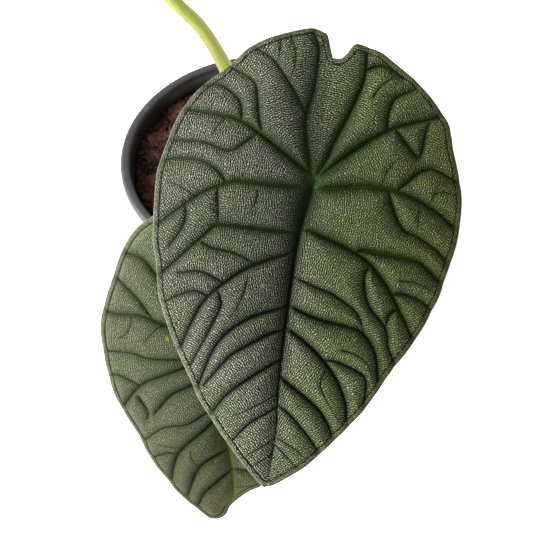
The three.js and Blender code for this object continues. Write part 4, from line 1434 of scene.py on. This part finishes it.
@dataclass
class Stems:
    """The stem base and the stalks that grow from it, in one body of colour."""

    stalks: list[Stalk]
    sheath: Sheath = Sheath()
    centre: tuple[float, float] = (-2.0, 6.0)
    sides: int = 28
    step: float = 1.6
    radius: float = 2.15
    tip_radius: float = 1.9
    flare: float = 0.25
    flare_rate: float = 22.0
    foot_rate: float = 3.2
    joint_reach: float = 5.0
    joint_gap: float = 3.2 + 0.9 + 1.3
    soil_level: float = 85.0
    crown_sides: int = 64
    crown_levels: int = 40
    crown_radius: float = 7.5
    crown_narrowing: float = 4.5
    crown_shoulder: float = 3.0
    crown_power: float = 1.4
    crown_foot: float = 70.3
    crown_height: float = 13.0
    wrap_height: float = 0.35
    wrap_turns: float = 1.5
    wrap_pitch: float = 9.0
    ripple_height: float = 0.16
    ripple_rate: float = 1.9
    scar_pitch: float = 6.0
    scar_width: float = 0.5
    scar_share: float = 0.45

    def build(self) -> bpy.types.Object:
        """Builds the stalks and the stem base, and dresses them.

        Returns:
            The finished piece.
        """
        shells = [*(self.stalk(stalk) for stalk in self.stalks), self.crown()]
        faces, first = [], 0
        for shell in shells:
            faces += [[index + first for index in face] for face in shell.faces]
            first += len(shell.points)
        piece = make_object("leaf_stalks", np.vstack([shell.points for shell in shells]), faces)
        for name in ("sun_side", "foot", "fold"):
            add_attribute(piece, name, np.concatenate([shell.stored[name] for shell in shells]))
        add_uv_map(piece, "skin", np.vstack([shell.skin for shell in shells]))
        piece.data.materials.append(StalkFinish().build())
        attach(piece, BODY)
        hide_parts("stems")
        return piece

    def stalk(self, stalk: Stalk) -> Shell:
        """Makes one tapering stalk, with a folded sheath at its foot.

        Args:
            stalk: The stalk's route and blade.

        Returns:
            Its shell.
        """
        end, normal = stalk.form.hub(-self.joint_gap)
        route = [np.array(point, dtype=float) for point in stalk.route]
        arrival = end - route[-1]
        arrival = arrival / np.linalg.norm(arrival) + normal
        arrival /= np.linalg.norm(arrival)
        path = smooth_path([*route, end - arrival * self.joint_reach, end], self.step)
        count = len(path)
        ahead = unit_rows(np.gradient(path, axis=0))
        side = np.cross(ahead[0], [math.cos(stalk.turn), math.sin(stalk.turn), 0.0])
        angle = circle(self.sides)
        rings, suns, feet, folds, skins = [], [], [], [], []
        for k, share in enumerate(np.linspace(0, 1, count)):
            side = side - ahead[k] * (side @ ahead[k])
            side /= np.linalg.norm(side)
            other = np.cross(ahead[k], side)
            outward = np.outer(np.cos(angle), side) + np.outer(np.sin(angle), other)
            sheath = max(0.0, 1 - share / self.sheath.length)
            swell = sheath * sheath * (3 - 2 * sheath)
            radius = stalk.girth * (self.radius + (self.tip_radius - self.radius) * share)
            radius = (radius + (self.sheath.radius - self.radius) * swell) * self.sheath.fold(angle, sheath)
            flare = max(0.0, 1 - (1 - share) * self.flare_rate)
            radius = radius * (1 + self.flare * flare * flare)
            rings.append(path[k] + radius[:, None] * outward)
            suns.append(0.5 - 0.5 * outward[:, 0])
            feet.append(np.full(self.sides, max(0.0, 1 - share * self.foot_rate)))
            folds.append(self.sheath.edge(angle, sheath))
            skins.append(np.column_stack([angle / (2 * math.pi), np.full(self.sides, k * self.step)]))
        stored = {
            "sun_side": np.concatenate([*suns, [0.5, 0.5]]),
            "foot": np.concatenate([*feet, [1.0, 0.0]]),
            "fold": np.concatenate([*folds, [0.0, 0.0]]),
        }
        skin = np.vstack([*skins, [[0, 0], [0, count * self.step]]])
        return Shell(np.vstack([*rings, path[:1], path[-1:]]), tube_faces(count, self.sides), stored, skin)

    def crown(self) -> Shell:
        """Makes the stem base: old sheaths wrapped round each other, with leaf scars as low rings.

        Returns:
            Its shell.
        """
        sides, levels = self.crown_sides, self.crown_levels
        shoulder = self.soil_level + self.crown_shoulder
        top = self.soil_level + self.crown_height
        angle = circle(sides)
        rings, heights = [], np.linspace(self.crown_foot, top, levels)
        for z in heights:
            share = rise(z, shoulder, top - shoulder)
            radius = self.crown_radius - self.crown_narrowing * share**self.crown_power
            radius = radius + self.wrap_height * np.abs(np.sin(self.wrap_turns * angle + z / self.wrap_pitch))
            radius = radius + self.ripple_height * np.sin(z * self.ripple_rate + 2 * np.sin(angle))
            rings.append(ring_at(self.centre, radius, angle, z))
        points = np.vstack([*rings, [[*self.centre, self.crown_foot], [*self.centre, top]]])
        repeated = np.repeat(heights, sides)
        scar = bell(np.mod(repeated, self.scar_pitch) - self.scar_pitch / 2, self.scar_width)
        stored = {
            "sun_side": np.concatenate([np.tile(0.5 - 0.5 * np.cos(angle), levels), [0.5, 0.5]]),
            "foot": np.concatenate([np.full(levels * sides, 0.9), [1.0, 1.0]]),
            "fold": np.concatenate([self.scar_share * scar, [0.0, 0.0]]),
        }
        skin = np.column_stack([np.tile(angle / (2 * math.pi), levels), repeated])
        skin = np.vstack([skin, [[0, self.crown_foot], [0, top]]])
        return Shell(points, tube_faces(levels, sides), stored, skin)


# Pot


@dataclass
class NurseryPot:
    """A round grower's pot: a tapering wall, a rolled lip, a collar under it and drain holes in the floor."""

    height: float = 92.0
    rim_radius: float = 54.0
    lip_width: float = 3.6
    lip_drop: float = 3.4
    lip_round: float = 1.5
    lip_under_round: float = 0.8
    lip_inner_round: float = 1.2
    wall: float = 1.5
    wall_rings: int = 30
    collar: float = 0.35
    collar_height: float = 15.0
    base_radius: float = 38.0
    foot_round: float = 1.0
    foot_step: float = 2.4
    floor: float = 2.0
    corner_round: float = 1.5
    corner_steps: int = 4
    inner_rings: int = 12
    sides: int = 160
    holes: int = 8
    hole_radius: float = 3.6
    hole_circle: float = 27.0
    hole_sides: int = 24
    sharp_corner: float = 38.0

    def inner_radius(self, z: float) -> float:
        """Gives the radius of the inner wall at a height."""
        low = self.base_radius - self.wall
        share = (z - self.floor) / (self.height - self.lip_inner_round - self.floor)
        return low + (self.rim_radius - self.lip_width - low) * share

    def arc(self, centre: tuple[float, float], radius: float, start: float, end: float, count: int) -> Path2:
        """Gives points on a round corner of the wall's section, from one angle in degrees to another."""
        turns = [math.radians(start + (end - start) * k / count) for k in range(count + 1)]
        return [[centre[0] + radius * math.cos(t), centre[1] + radius * math.sin(t)] for t in turns]

    def section(self) -> Path2:
        """Gives the wall's section from the underside's edge, up the outside and down to the floor."""
        under = self.height - self.lip_drop
        outer, inner = self.rim_radius, self.rim_radius - self.lip_width
        wall_top = self.inner_radius(under) + self.wall
        foot_centre = (self.base_radius - self.foot_round, self.foot_round)
        foot = [[self.base_radius - self.foot_step, 0.0], *self.arc(foot_centre, self.foot_round, -90, -8, 5)]
        outside = []
        for k in range(1, self.wall_rings):
            share = k / self.wall_rings
            z = self.foot_round + (under - self.foot_round) * share
            collar = self.collar if z > self.height - self.collar_height else 0.0
            outside.append([self.base_radius + (wall_top - self.base_radius) * share + collar, z])
        small, large, inside = self.lip_under_round, self.lip_round, self.lip_inner_round
        lip = [
            [wall_top + self.collar, under],
            *self.arc((outer - small, under + small), small, -90, 0, 4),
            *self.arc((outer - large, self.height - large), large, 0, 90, 8),
            *self.arc((inner + inside, self.height - inside), inside, 90, 180, 6),
        ]
        levels = np.linspace(self.height - 3, self.floor + 2, self.inner_rings)
        descent = [[self.inner_radius(z), z] for z in levels]
        corner_centre = (self.inner_radius(self.floor) - self.corner_round, self.floor + self.corner_round)
        corner = self.arc(corner_centre, self.corner_round, 0, -90, self.corner_steps)
        return [*foot, *outside, *lip, *descent, *corner]

    def build(self) -> bpy.types.Object:
        """Builds the pot and dresses it.

        Returns:
            The finished piece.
        """
        section = self.section()
        angle = circle(self.sides)
        rings = [ring_at((0.0, 0.0), radius, angle, z) for radius, z in section]
        points = [*np.vstack(rings)]
        faces = ring_faces(len(section), self.sides)
        holes = self.hole_loops()
        wall_loops = []
        for ring, z, flipped in ((0, 0.0, True), (len(section) - 1, self.floor, False)):
            places, triangles = self.disc(rings[ring][:, :2], holes)
            numbers = list(range(ring * self.sides, (ring + 1) * self.sides))
            numbers += list(range(len(points), len(points) + len(places) - self.sides))
            points += [np.array([x, y, z]) for x, y in places[self.sides :]]
            wall_loops.append(numbers[self.sides :])
            for triangle in triangles:
                corners = [numbers[k] for k in triangle]
                faces.append(corners[::-1] if flipped else corners)
        low, high = wall_loops
        for hole in range(self.holes):
            start = hole * self.hole_sides
            for k in range(self.hole_sides):
                after = start + (k + 1) % self.hole_sides
                faces.append([low[after], low[start + k], high[start + k], high[after]])
        piece = make_object("nursery_pot", np.array(points), faces)
        first_inner = len(section) - self.inner_rings - self.corner_steps - 1
        inner = np.zeros(len(points))
        inner[first_inner * self.sides : len(section) * self.sides] = 1
        add_attribute(piece, "inner", inner)
        self.set_outward(piece)
        piece.data.materials.append(PotFinish().build())
        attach(piece, BODY)
        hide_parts("pot")
        return piece

    def hole_loops(self) -> list[np.ndarray]:
        """Gives each drain hole's outline."""
        loops = []
        for k in range(self.holes):
            turn = 2 * math.pi * (k + 0.5) / self.holes
            centre = (self.hole_circle * math.cos(turn), self.hole_circle * math.sin(turn))
            loops.append(ring_at(centre, self.hole_radius, circle(self.hole_sides), 0.0)[:, :2])
        return loops

    def disc(self, ring: np.ndarray, holes: list[np.ndarray]) -> tuple[np.ndarray, np.ndarray]:
        """Fills a ring with triangles, leaving the holes open.

        Args:
            ring: The outer loop.
            holes: The loops to leave open.

        Returns:
            The loops' points in order, and the triangles.
        """
        places = np.vstack([ring, *holes])
        edges, start = [], 0
        for loop in (ring, *holes):
            numbers = list(range(start, start + len(loop)))
            edges += zip(numbers, numbers[1:] + numbers[:1])
            start += len(loop)
        points = [Vector(place) for place in places.tolist()]
        _, _, faces, *_ = delaunay_2d_cdt(points, edges, [], 0, 1e-6, False)
        triangles = np.array(faces)
        middles = places[triangles].mean(axis=1)
        blocked = np.zeros(len(triangles), dtype=bool)
        for hole in holes:
            blocked |= is_inside(middles, hole)
        return places, turned_up(places, triangles[~blocked])

    def set_outward(self, piece: bpy.types.Object) -> None:
        """Turns every face of the closed pot outwards, and marks its sharp corners."""
        limit = math.radians(self.sharp_corner)
        shape = bmesh.new()
        shape.from_mesh(piece.data)
        bmesh.ops.recalc_face_normals(shape, faces=shape.faces)
        for edge in shape.edges:
            edge.smooth = len(edge.link_faces) == 2 and edge.calc_face_angle(0) < limit
        shape.to_mesh(piece.data)
        shape.free()


# Soil


@dataclass(frozen=True)
class Crumb:
    """One sort of loose crumb. Sizes are widths in metres, and flat is a crumb's height over its width."""

    name: str
    count: int
    smallest: float
    largest: float
    flat: float
    seed: int
    roughness: float = 0.28
    stretch: float = 1.25

    def build(self) -> bpy.types.Object:
        """Makes one lumpy crumb of unit size, as an unlinked object."""
        draw = np.random.default_rng(self.seed)
        shape = bmesh.new()
        bmesh.ops.create_icosphere(shape, subdivisions=1, radius=0.5)
        for vertex in shape.verts:
            vertex.co *= 1 + self.roughness * (draw.random() - 0.5) * 2
            vertex.co.z *= self.flat
            vertex.co.x *= self.stretch
        mesh = bpy.data.meshes.new(f"{self.name}_shape")
        shape.to_mesh(mesh)
        shape.free()
        return bpy.data.objects.new(f"{self.name}_shape", mesh)


@dataclass
class PottingSoil:
    """Potting mix that fills the pot to below its lip, with loose crumbs and bark on top."""

    pot: NurseryPot
    level: float = 85.0
    clearance: float = 0.4
    centre: tuple[float, float] = (-2.0, 6.0)
    hole_radius: float = 7.6
    hole_depth: float = 14.8
    sides: int = 180
    rings: int = 46
    edge_drop: float = 0.8
    bottom_chamfer: float = 1.5
    bottom_inset: float = 3.0
    relief: float = 1.5
    lump_share: float = 0.5
    lump_lengths: tuple[float, ...] = (3.1, 5.3, 3.7, 4.1)
    lump_bends: Span = (1.7, 1.1)
    fine_share: float = 0.22
    fine_rates: tuple[float, ...] = (1.31, 0.47, 1.17, 0.39)
    fine_bends: Span = (2.1, 1.6)
    heap_height: float = 0.6
    heap_width: float = 6.0
    flattest: float = 0.35
    top_depth: float = 4.0
    wall_gap: float = 0.3
    crumbs: tuple[Crumb, ...] = (
        Crumb("soil_crumbs", 2300, 0.0009, 0.0026, 0.8, 41),
        Crumb("bark_chips", 170, 0.0024, 0.0052, 0.42, 46),
    )

    def build(self) -> list[bpy.types.Object]:
        """Builds the filling and the loose crumbs on it, and dresses both.

        Returns:
            The finished pieces.
        """
        material = SoilFinish().build()
        filling = self.filling()
        filling.data.materials.append(material)
        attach(filling, BODY)
        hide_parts("soil")
        pieces = [filling]
        for crumb in self.crumbs:
            crumbs = self.scatter(crumb, filling, material)
            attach(crumbs, BODY)
            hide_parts("soil")
            pieces.append(crumbs)
        return pieces

    def ground(self, x: np.ndarray, y: np.ndarray) -> np.ndarray:
        """Gives the surface's height over flat places: low heaps and hollows, gathered at the stem base."""
        (a, b, c, d), (bend, cross_bend) = self.lump_lengths, self.lump_bends
        lumps = np.sin(x / a + bend * np.sin(y / b)) * np.sin(y / c + cross_bend * np.sin(x / d))
        (a, b, c, d), (bend, cross_bend) = self.fine_rates, self.fine_bends
        fine = np.sin(x * a + bend * np.sin(y * b)) * np.sin(y * c + cross_bend * np.sin(x * d))
        heap = bell(np.hypot(x - self.centre[0], y - self.centre[1]) - self.hole_radius, self.heap_width)
        uneven = self.relief * (self.lump_share * lumps + self.fine_share * fine)
        return self.level + uneven + self.heap_height * heap

    def filling(self) -> bpy.types.Object:
        """Makes the closed body of soil, with a hole for the stem base."""
        angle = circle(self.sides)
        ring = np.column_stack([np.cos(angle), np.sin(angle)])
        outer = self.pot.inner_radius(self.level) - self.clearance
        bottom = self.pot.floor + self.clearance
        low_radius = self.pot.inner_radius(self.pot.floor + self.bottom_chamfer) - self.clearance
        hole_bottom = self.level - self.hole_depth
        sections = [
            ring_at((0.0, 0.0), low_radius - self.bottom_inset, angle, bottom),
            ring_at((0.0, 0.0), low_radius, angle, bottom + self.bottom_chamfer),
        ]
        for k in range(self.rings + 1):
            share = k / self.rings
            flat = np.array(self.centre) * share + ring * (outer + (self.hole_radius - outer) * share)
            height = self.ground(flat[:, 0], flat[:, 1]) - (self.edge_drop if k == 0 else 0.0)
            sections.append(np.column_stack([flat, height]))
        sections.append(ring_at(self.centre, self.hole_radius, angle, hole_bottom))
        points = np.vstack([*sections, [[0, 0, bottom], [*self.centre, hole_bottom]]])
        piece = make_object("soil_filling", points, tube_faces(len(sections), self.sides))
        add_attribute(piece, "tint", np.zeros(len(points)))
        return piece

    def scatter(
        self, crumb: Crumb, filling: bpy.types.Object, material: bpy.types.Material
    ) -> bpy.types.Object:
        """Spreads crumbs over the soil's top with geometry nodes, and makes them plain mesh.

        Args:
            crumb: The sort of crumb.
            filling: The soil that they lie on.
            material: Their finish.

        Returns:
            The crumbs as one piece.
        """
        shape = crumb.build()
        carrier = bpy.data.objects.new(f"{crumb.name}_carrier", filling.data)
        bpy.context.scene.collection.objects.link(carrier)
        modifier = carrier.modifiers.new("scatter", "NODES")
        modifier.node_group = self.scatter_tree(crumb, shape, material)
        outer = self.pot.inner_radius(self.level) * METRES
        sizes = {
            "Count per square metre": crumb.count / (math.pi * outer * outer),
            "Smallest": crumb.smallest,
            "Largest": crumb.largest,
        }
        for item in modifier.node_group.interface.items_tree:
            if item.name in sizes:
                modifier[item.identifier] = sizes[item.name]
        graph = bpy.context.evaluated_depsgraph_get()
        mesh = bpy.data.meshes.new_from_object(carrier.evaluated_get(graph))
        mesh.name = crumb.name
        bpy.data.objects.remove(carrier)
        bpy.data.objects.remove(shape)
        self.keep_inside(mesh)
        piece = bpy.data.objects.new(crumb.name, mesh)
        bpy.context.scene.collection.objects.link(piece)
        return piece

    def scatter_tree(
        self, crumb: Crumb, shape: bpy.types.Object, material: bpy.types.Material
    ) -> bpy.types.NodeTree:
        """Makes the tree that puts crumbs on whole faces of the soil's top that look upwards.

        Args:
            crumb: The sort of crumb.
            shape: The crumb's shape.
            material: The crumbs' finish.

        Returns:
            The tree, with inputs for the count and the sizes.
        """
        tree = bpy.data.node_groups.new(f"{crumb.name}_tree", "GeometryNodeTree")
        for name, way, kind in (
            ("Geometry", "INPUT", "Geometry"),
            ("Count per square metre", "INPUT", "Float"),
            ("Smallest", "INPUT", "Float"),
            ("Largest", "INPUT", "Float"),
            ("Geometry", "OUTPUT", "Geometry"),
        ):
            tree.interface.new_socket(name, in_out=way, socket_type=f"NodeSocket{kind}")
        board = NodeBoard(tree)

        def over(source: str, output: str, limit: float) -> bpy.types.NodeSocket:
            """Tells where the Z of a field is over a limit."""
            field = board.add(source).outputs[output]
            part = board.add("ShaderNodeSeparateXYZ", None, {0: field}).outputs["Z"]
            settings = {"data_type": "FLOAT", "operation": "GREATER_THAN"}
            return board.add("FunctionNodeCompare", settings, {0: part, 1: limit}).outputs["Result"]

        given = board.add("NodeGroupInput").outputs
        upward = over("GeometryNodeInputNormal", "Normal", self.flattest)
        above = over("GeometryNodeInputPosition", "Position", (self.level - self.top_depth) * METRES)
        both = board.add("FunctionNodeBooleanMath", None, {0: upward, 1: above}).outputs[0]
        settings = {"data_type": "BOOLEAN", "domain": "FACE"}
        whole_face = board.add("GeometryNodeFieldOnDomain", settings, {0: both}).outputs[0]
        spread = board.add(
            "GeometryNodeDistributePointsOnFaces",
            {"distribute_method": "RANDOM"},
            {
                "Mesh": given["Geometry"],
                "Selection": whole_face,
                "Density": given["Count per square metre"],
                "Seed": crumb.seed,
            },
        )
        turn = board.add(
            "FunctionNodeRandomValue",
            {"data_type": "FLOAT_VECTOR"},
            {"Min": (-0.5, -0.5, 0.0), "Max": (0.5, 0.5, 2 * math.pi), "Seed": crumb.seed + 1},
        )
        sizes = {2: given["Smallest"], 3: given["Largest"], "Seed": crumb.seed + 2}
        grow = board.add("FunctionNodeRandomValue", {"data_type": "FLOAT"}, sizes)
        tint = board.add("FunctionNodeRandomValue", {"data_type": "FLOAT"}, {"Seed": crumb.seed + 3})
        place = board.add(
            "GeometryNodeInstanceOnPoints",
            None,
            {
                "Points": spread.outputs["Points"],
                "Instance": board.add("GeometryNodeObjectInfo", None, {"Object": shape}).outputs["Geometry"],
                "Rotation": turn.outputs["Value"],
                "Scale": grow.outputs[1],
            },
        )
        store = board.add(
            "GeometryNodeStoreNamedAttribute",
            {"data_type": "FLOAT", "domain": "INSTANCE"},
            {"Geometry": place.outputs["Instances"], "Name": "tint", "Value": tint.outputs[1]},
        )
        real = board.add("GeometryNodeRealizeInstances", None, {"Geometry": store.outputs["Geometry"]})
        dressing = {"Geometry": real.outputs["Geometry"], "Material": material}
        dress = board.add("GeometryNodeSetMaterial", None, dressing)
        board.add("NodeGroupOutput", None, {"Geometry": dress.outputs["Geometry"]})
        return tree

    def keep_inside(self, mesh: bpy.types.Mesh) -> None:
        """Pulls crumbs that would cross the pot's wall or the lip back over the soil."""
        limit = (self.pot.inner_radius(self.level) - self.wall_gap) * METRES
        for vertex in mesh.vertices:
            reach = math.hypot(vertex.co.x, vertex.co.y)
            if reach > limit:
                vertex.co.x *= limit / reach
                vertex.co.y *= limit / reach


# Studio


@dataclass(frozen=True)
class Lamp:
    """A square soft light: its place and side in metres, and its power in watts."""

    name: str
    place: Triple
    side: float
    power: float
    colour: Colour


@dataclass
class Studio:
    """A pale floor, soft light from the upper left, and a camera that looks down into the pot."""

    camera_place: Triple = (-0.2314, -368.5447, 491.4885)
    tilt: float = 52.0
    roll: float = -3.89
    focal_pixels: float = 1400.0
    frame_pixels: float = 533.0
    sensor_width: float = 36.0
    floor_size: float = 6.0
    floor_glow: float = 0.62
    floor_shades: tuple[Colour, Colour] = ((0.9, 0.9, 0.9), (0.93, 0.93, 0.93))
    sky_strength: float = 0.4
    aim: Triple = (0.0, -0.06, 0.12)
    lamps: tuple[Lamp, ...] = (
        Lamp("window", (-0.86, -0.26, 0.54), 0.5, 23.0, (1.0, 1.0, 1.0)),
        Lamp("bounce", (0.6, 0.3, 0.7), 0.8, 1.2, (1.0, 1.0, 0.97)),
    )

    def build(self) -> None:
        """Sets up the floor, lights, world and camera."""
        self.floor()
        self.lights()
        self.camera()
        view = bpy.context.scene.view_settings
        view.view_transform = "Standard"
        view.look = "None"

    def floor(self) -> None:
        """Makes the pale floor."""
        half = self.floor_size / 2
        corners = [(-half, -half, 0), (half, -half, 0), (half, half, 0), (-half, half, 0)]
        mesh = bpy.data.meshes.new("pale_floor")
        mesh.from_pydata(corners, [], [(0, 1, 2, 3)])
        floor = bpy.data.objects.new("pale_floor", mesh)
        bpy.context.scene.collection.objects.link(floor)
        sheet = NodeSheet("pale_paper")
        colour = sheet.mix(sheet.noise(3.0, 2.0), *self.floor_shades)
        floor.data.materials.append(sheet.finish(colour, 0.9, None, 0.2, self.floor_glow))

    def lights(self) -> None:
        """Places a large soft window light at the upper left, its bounce and an even sky."""
        for lamp in self.lamps:
            light = bpy.data.lights.new(lamp.name, "AREA")
            light.shape, light.size = "SQUARE", lamp.side
            light.energy = lamp.power
            light.color = lamp.colour
            stand = bpy.data.objects.new(lamp.name, light)
            stand.location = lamp.place
            way = Vector(self.aim) - Vector(lamp.place)
            stand.rotation_euler = way.to_track_quat("-Z", "Y").to_euler()
            bpy.context.scene.collection.objects.link(stand)
        world = bpy.data.worlds.new("pale_room")
        world.use_nodes = True
        sky = world.node_tree.nodes["Background"]
        sky.inputs["Color"].default_value = (1.0, 1.0, 1.0, 1.0)
        sky.inputs["Strength"].default_value = self.sky_strength
        bpy.context.scene.world = world

    def camera(self) -> None:
        """Places the camera at the photograph's viewing angle."""
        tilt, roll = math.radians(self.tilt), math.radians(self.roll)
        ahead = Vector((0, math.cos(tilt), -math.sin(tilt)))
        up = Vector((0, math.sin(tilt), math.cos(tilt)))
        right = Vector((1, 0, 0))
        rolled_right = right * math.cos(roll) + up * math.sin(roll)
        rolled_up = up * math.cos(roll) - right * math.sin(roll)
        data = bpy.data.cameras.new("camera")
        data.sensor_fit = "HORIZONTAL"
        data.sensor_width = self.sensor_width
        data.lens = self.sensor_width * self.focal_pixels / self.frame_pixels
        data.clip_start, data.clip_end = 0.01, 20.0
        camera = bpy.data.objects.new("camera", data)
        turn = Matrix((rolled_right, rolled_up, -ahead)).transposed().to_4x4()
        camera.matrix_world = Matrix.Translation(Vector(self.camera_place) * METRES) @ turn
        bpy.context.scene.collection.objects.link(camera)
        bpy.context.scene.camera = camera


# The whole plant

FRONT_FORM = BladeForm(
    joint=(16.2, -82.4, 166.9), heading=16, slope=37, bend=0.094, bank=9.5,
    droop_left=0.002, droop_right=0.002,
)
LOWER_FORM = BladeForm(
    joint=(-15.8, -90.5, 102.1), heading=8, slope=55.5, bend=0.256, bank=0,
    droop_left=0.0022, droop_right=0.0045,
)
BACK_FORM = BladeForm(
    joint=(-52.0, 22.0, 204.0), heading=150, slope=36, bend=0.16, bank=0,
    droop_left=0.0024, droop_right=0.0024,
)

FRONT_STALK = Stalk(
    FRONT_FORM,
    route=[[-1, 6, 72], [0, 5, 92], [3, -3, 118], [7, -19, 141], [10.5, -39, 155], [13.6, -61, 160]],
    turn=2.2,
)
LOWER_STALK = Stalk(
    LOWER_FORM,
    route=[
        [-2.5, 4, 72], [-2.5, 1, 92], [-3.2, -12, 105], [-5.6, -33, 110], [-9, -55, 107], [-12.4, -73, 101],
    ],
    turn=1.2,
)
BACK_STALK = Stalk(
    BACK_FORM,
    route=[
        [-3.5, 9, 72], [-4, 10, 92], [-6.2, 10.8, 110], [-10.6, 11, 128.1], [-17.8, 11, 147.4],
        [-26.9, 11, 161.6], [-36, 14, 175],
    ],
    turn=0.2,
    girth=1.26,
)

FIRM_SKIN = BladeFinish("blade_skin")
SOFT_SKIN = BladeFinish(
    "lower_blade_skin",
    wax_and_sheen=(0.42, 0.42, 0.285),
    wax_right=(0.33, 0.38, 0.14),
    wax_green=(0.21, 0.31, 0.085),
    gap=(0.024, 0.031, 0.012),
    gap_right=(0.024, 0.033, 0.01),
    gap_green=(0.016, 0.03, 0.004),
    vein_dark=(0.006, 0.012, 0.002),
    vein_bright=(0.012, 0.025, 0.002),
    warm=(0.3, 0.25, 0.07),
    streak=(0.075, 0.09, 0.016),
    speck=(0.36, 0.28, 0.02),
    even_rim=0.6,
    even_reach=5.0,
    even_level=0.3,
    even_field=0.1,
)
FRONT_TINTS = BladeTints(tip_bloom=1.08, specks=((-10.9, -34.5),))
LOWER_TINTS = BladeTints(
    tip_bloom=0.66,
    tip_warmth=0.75,
    tip_streak=0.75,
    midrib_warmth=0.6,
    glow_floor=0.75,
    specks=((-19.6, -3.4),),
)


def report(piece: bpy.types.Object) -> None:
    """Writes a finished piece's name and size to the log."""
    piece.data.calc_loop_triangles()
    log.info("%s: %d triangles", piece.name, len(piece.data.loop_triangles))


def main() -> None:
    """Builds the studio, the pot, the soil, the stalks and the blades, in that order."""
    logging.basicConfig(level=logging.INFO, format="%(name)s: %(message)s")
    Studio().build()
    pot = NurseryPot()
    report(pot.build())
    for piece in PottingSoil(pot).build():
        report(piece)
    report(Stems([FRONT_STALK, LOWER_STALK, BACK_STALK]).build())
    back_pattern = FRONT_PATTERN.turned_over(0.9, 0.93, 0.0006)
    for blade in (
        LeafBlade("front_blade", "blade_front", "blade", FRONT_PATTERN, FRONT_FORM, FIRM_SKIN, FRONT_TINTS),
        LeafBlade(
            "lower_blade", "blade_lower", "blade_lower", LOWER_PATTERN, LOWER_FORM, SOFT_SKIN, LOWER_TINTS,
            seed=3, hollow_scale=1.45, groove_scale=1.15, hub_reach=14.0, hub_widening=1.7,
        ),
        LeafBlade("back_blade", "blade_back", "blade", back_pattern, BACK_FORM, FIRM_SKIN, seed=5),
    ):
        report(blade.build())
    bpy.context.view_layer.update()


if __name__ == "__main__":
    main()
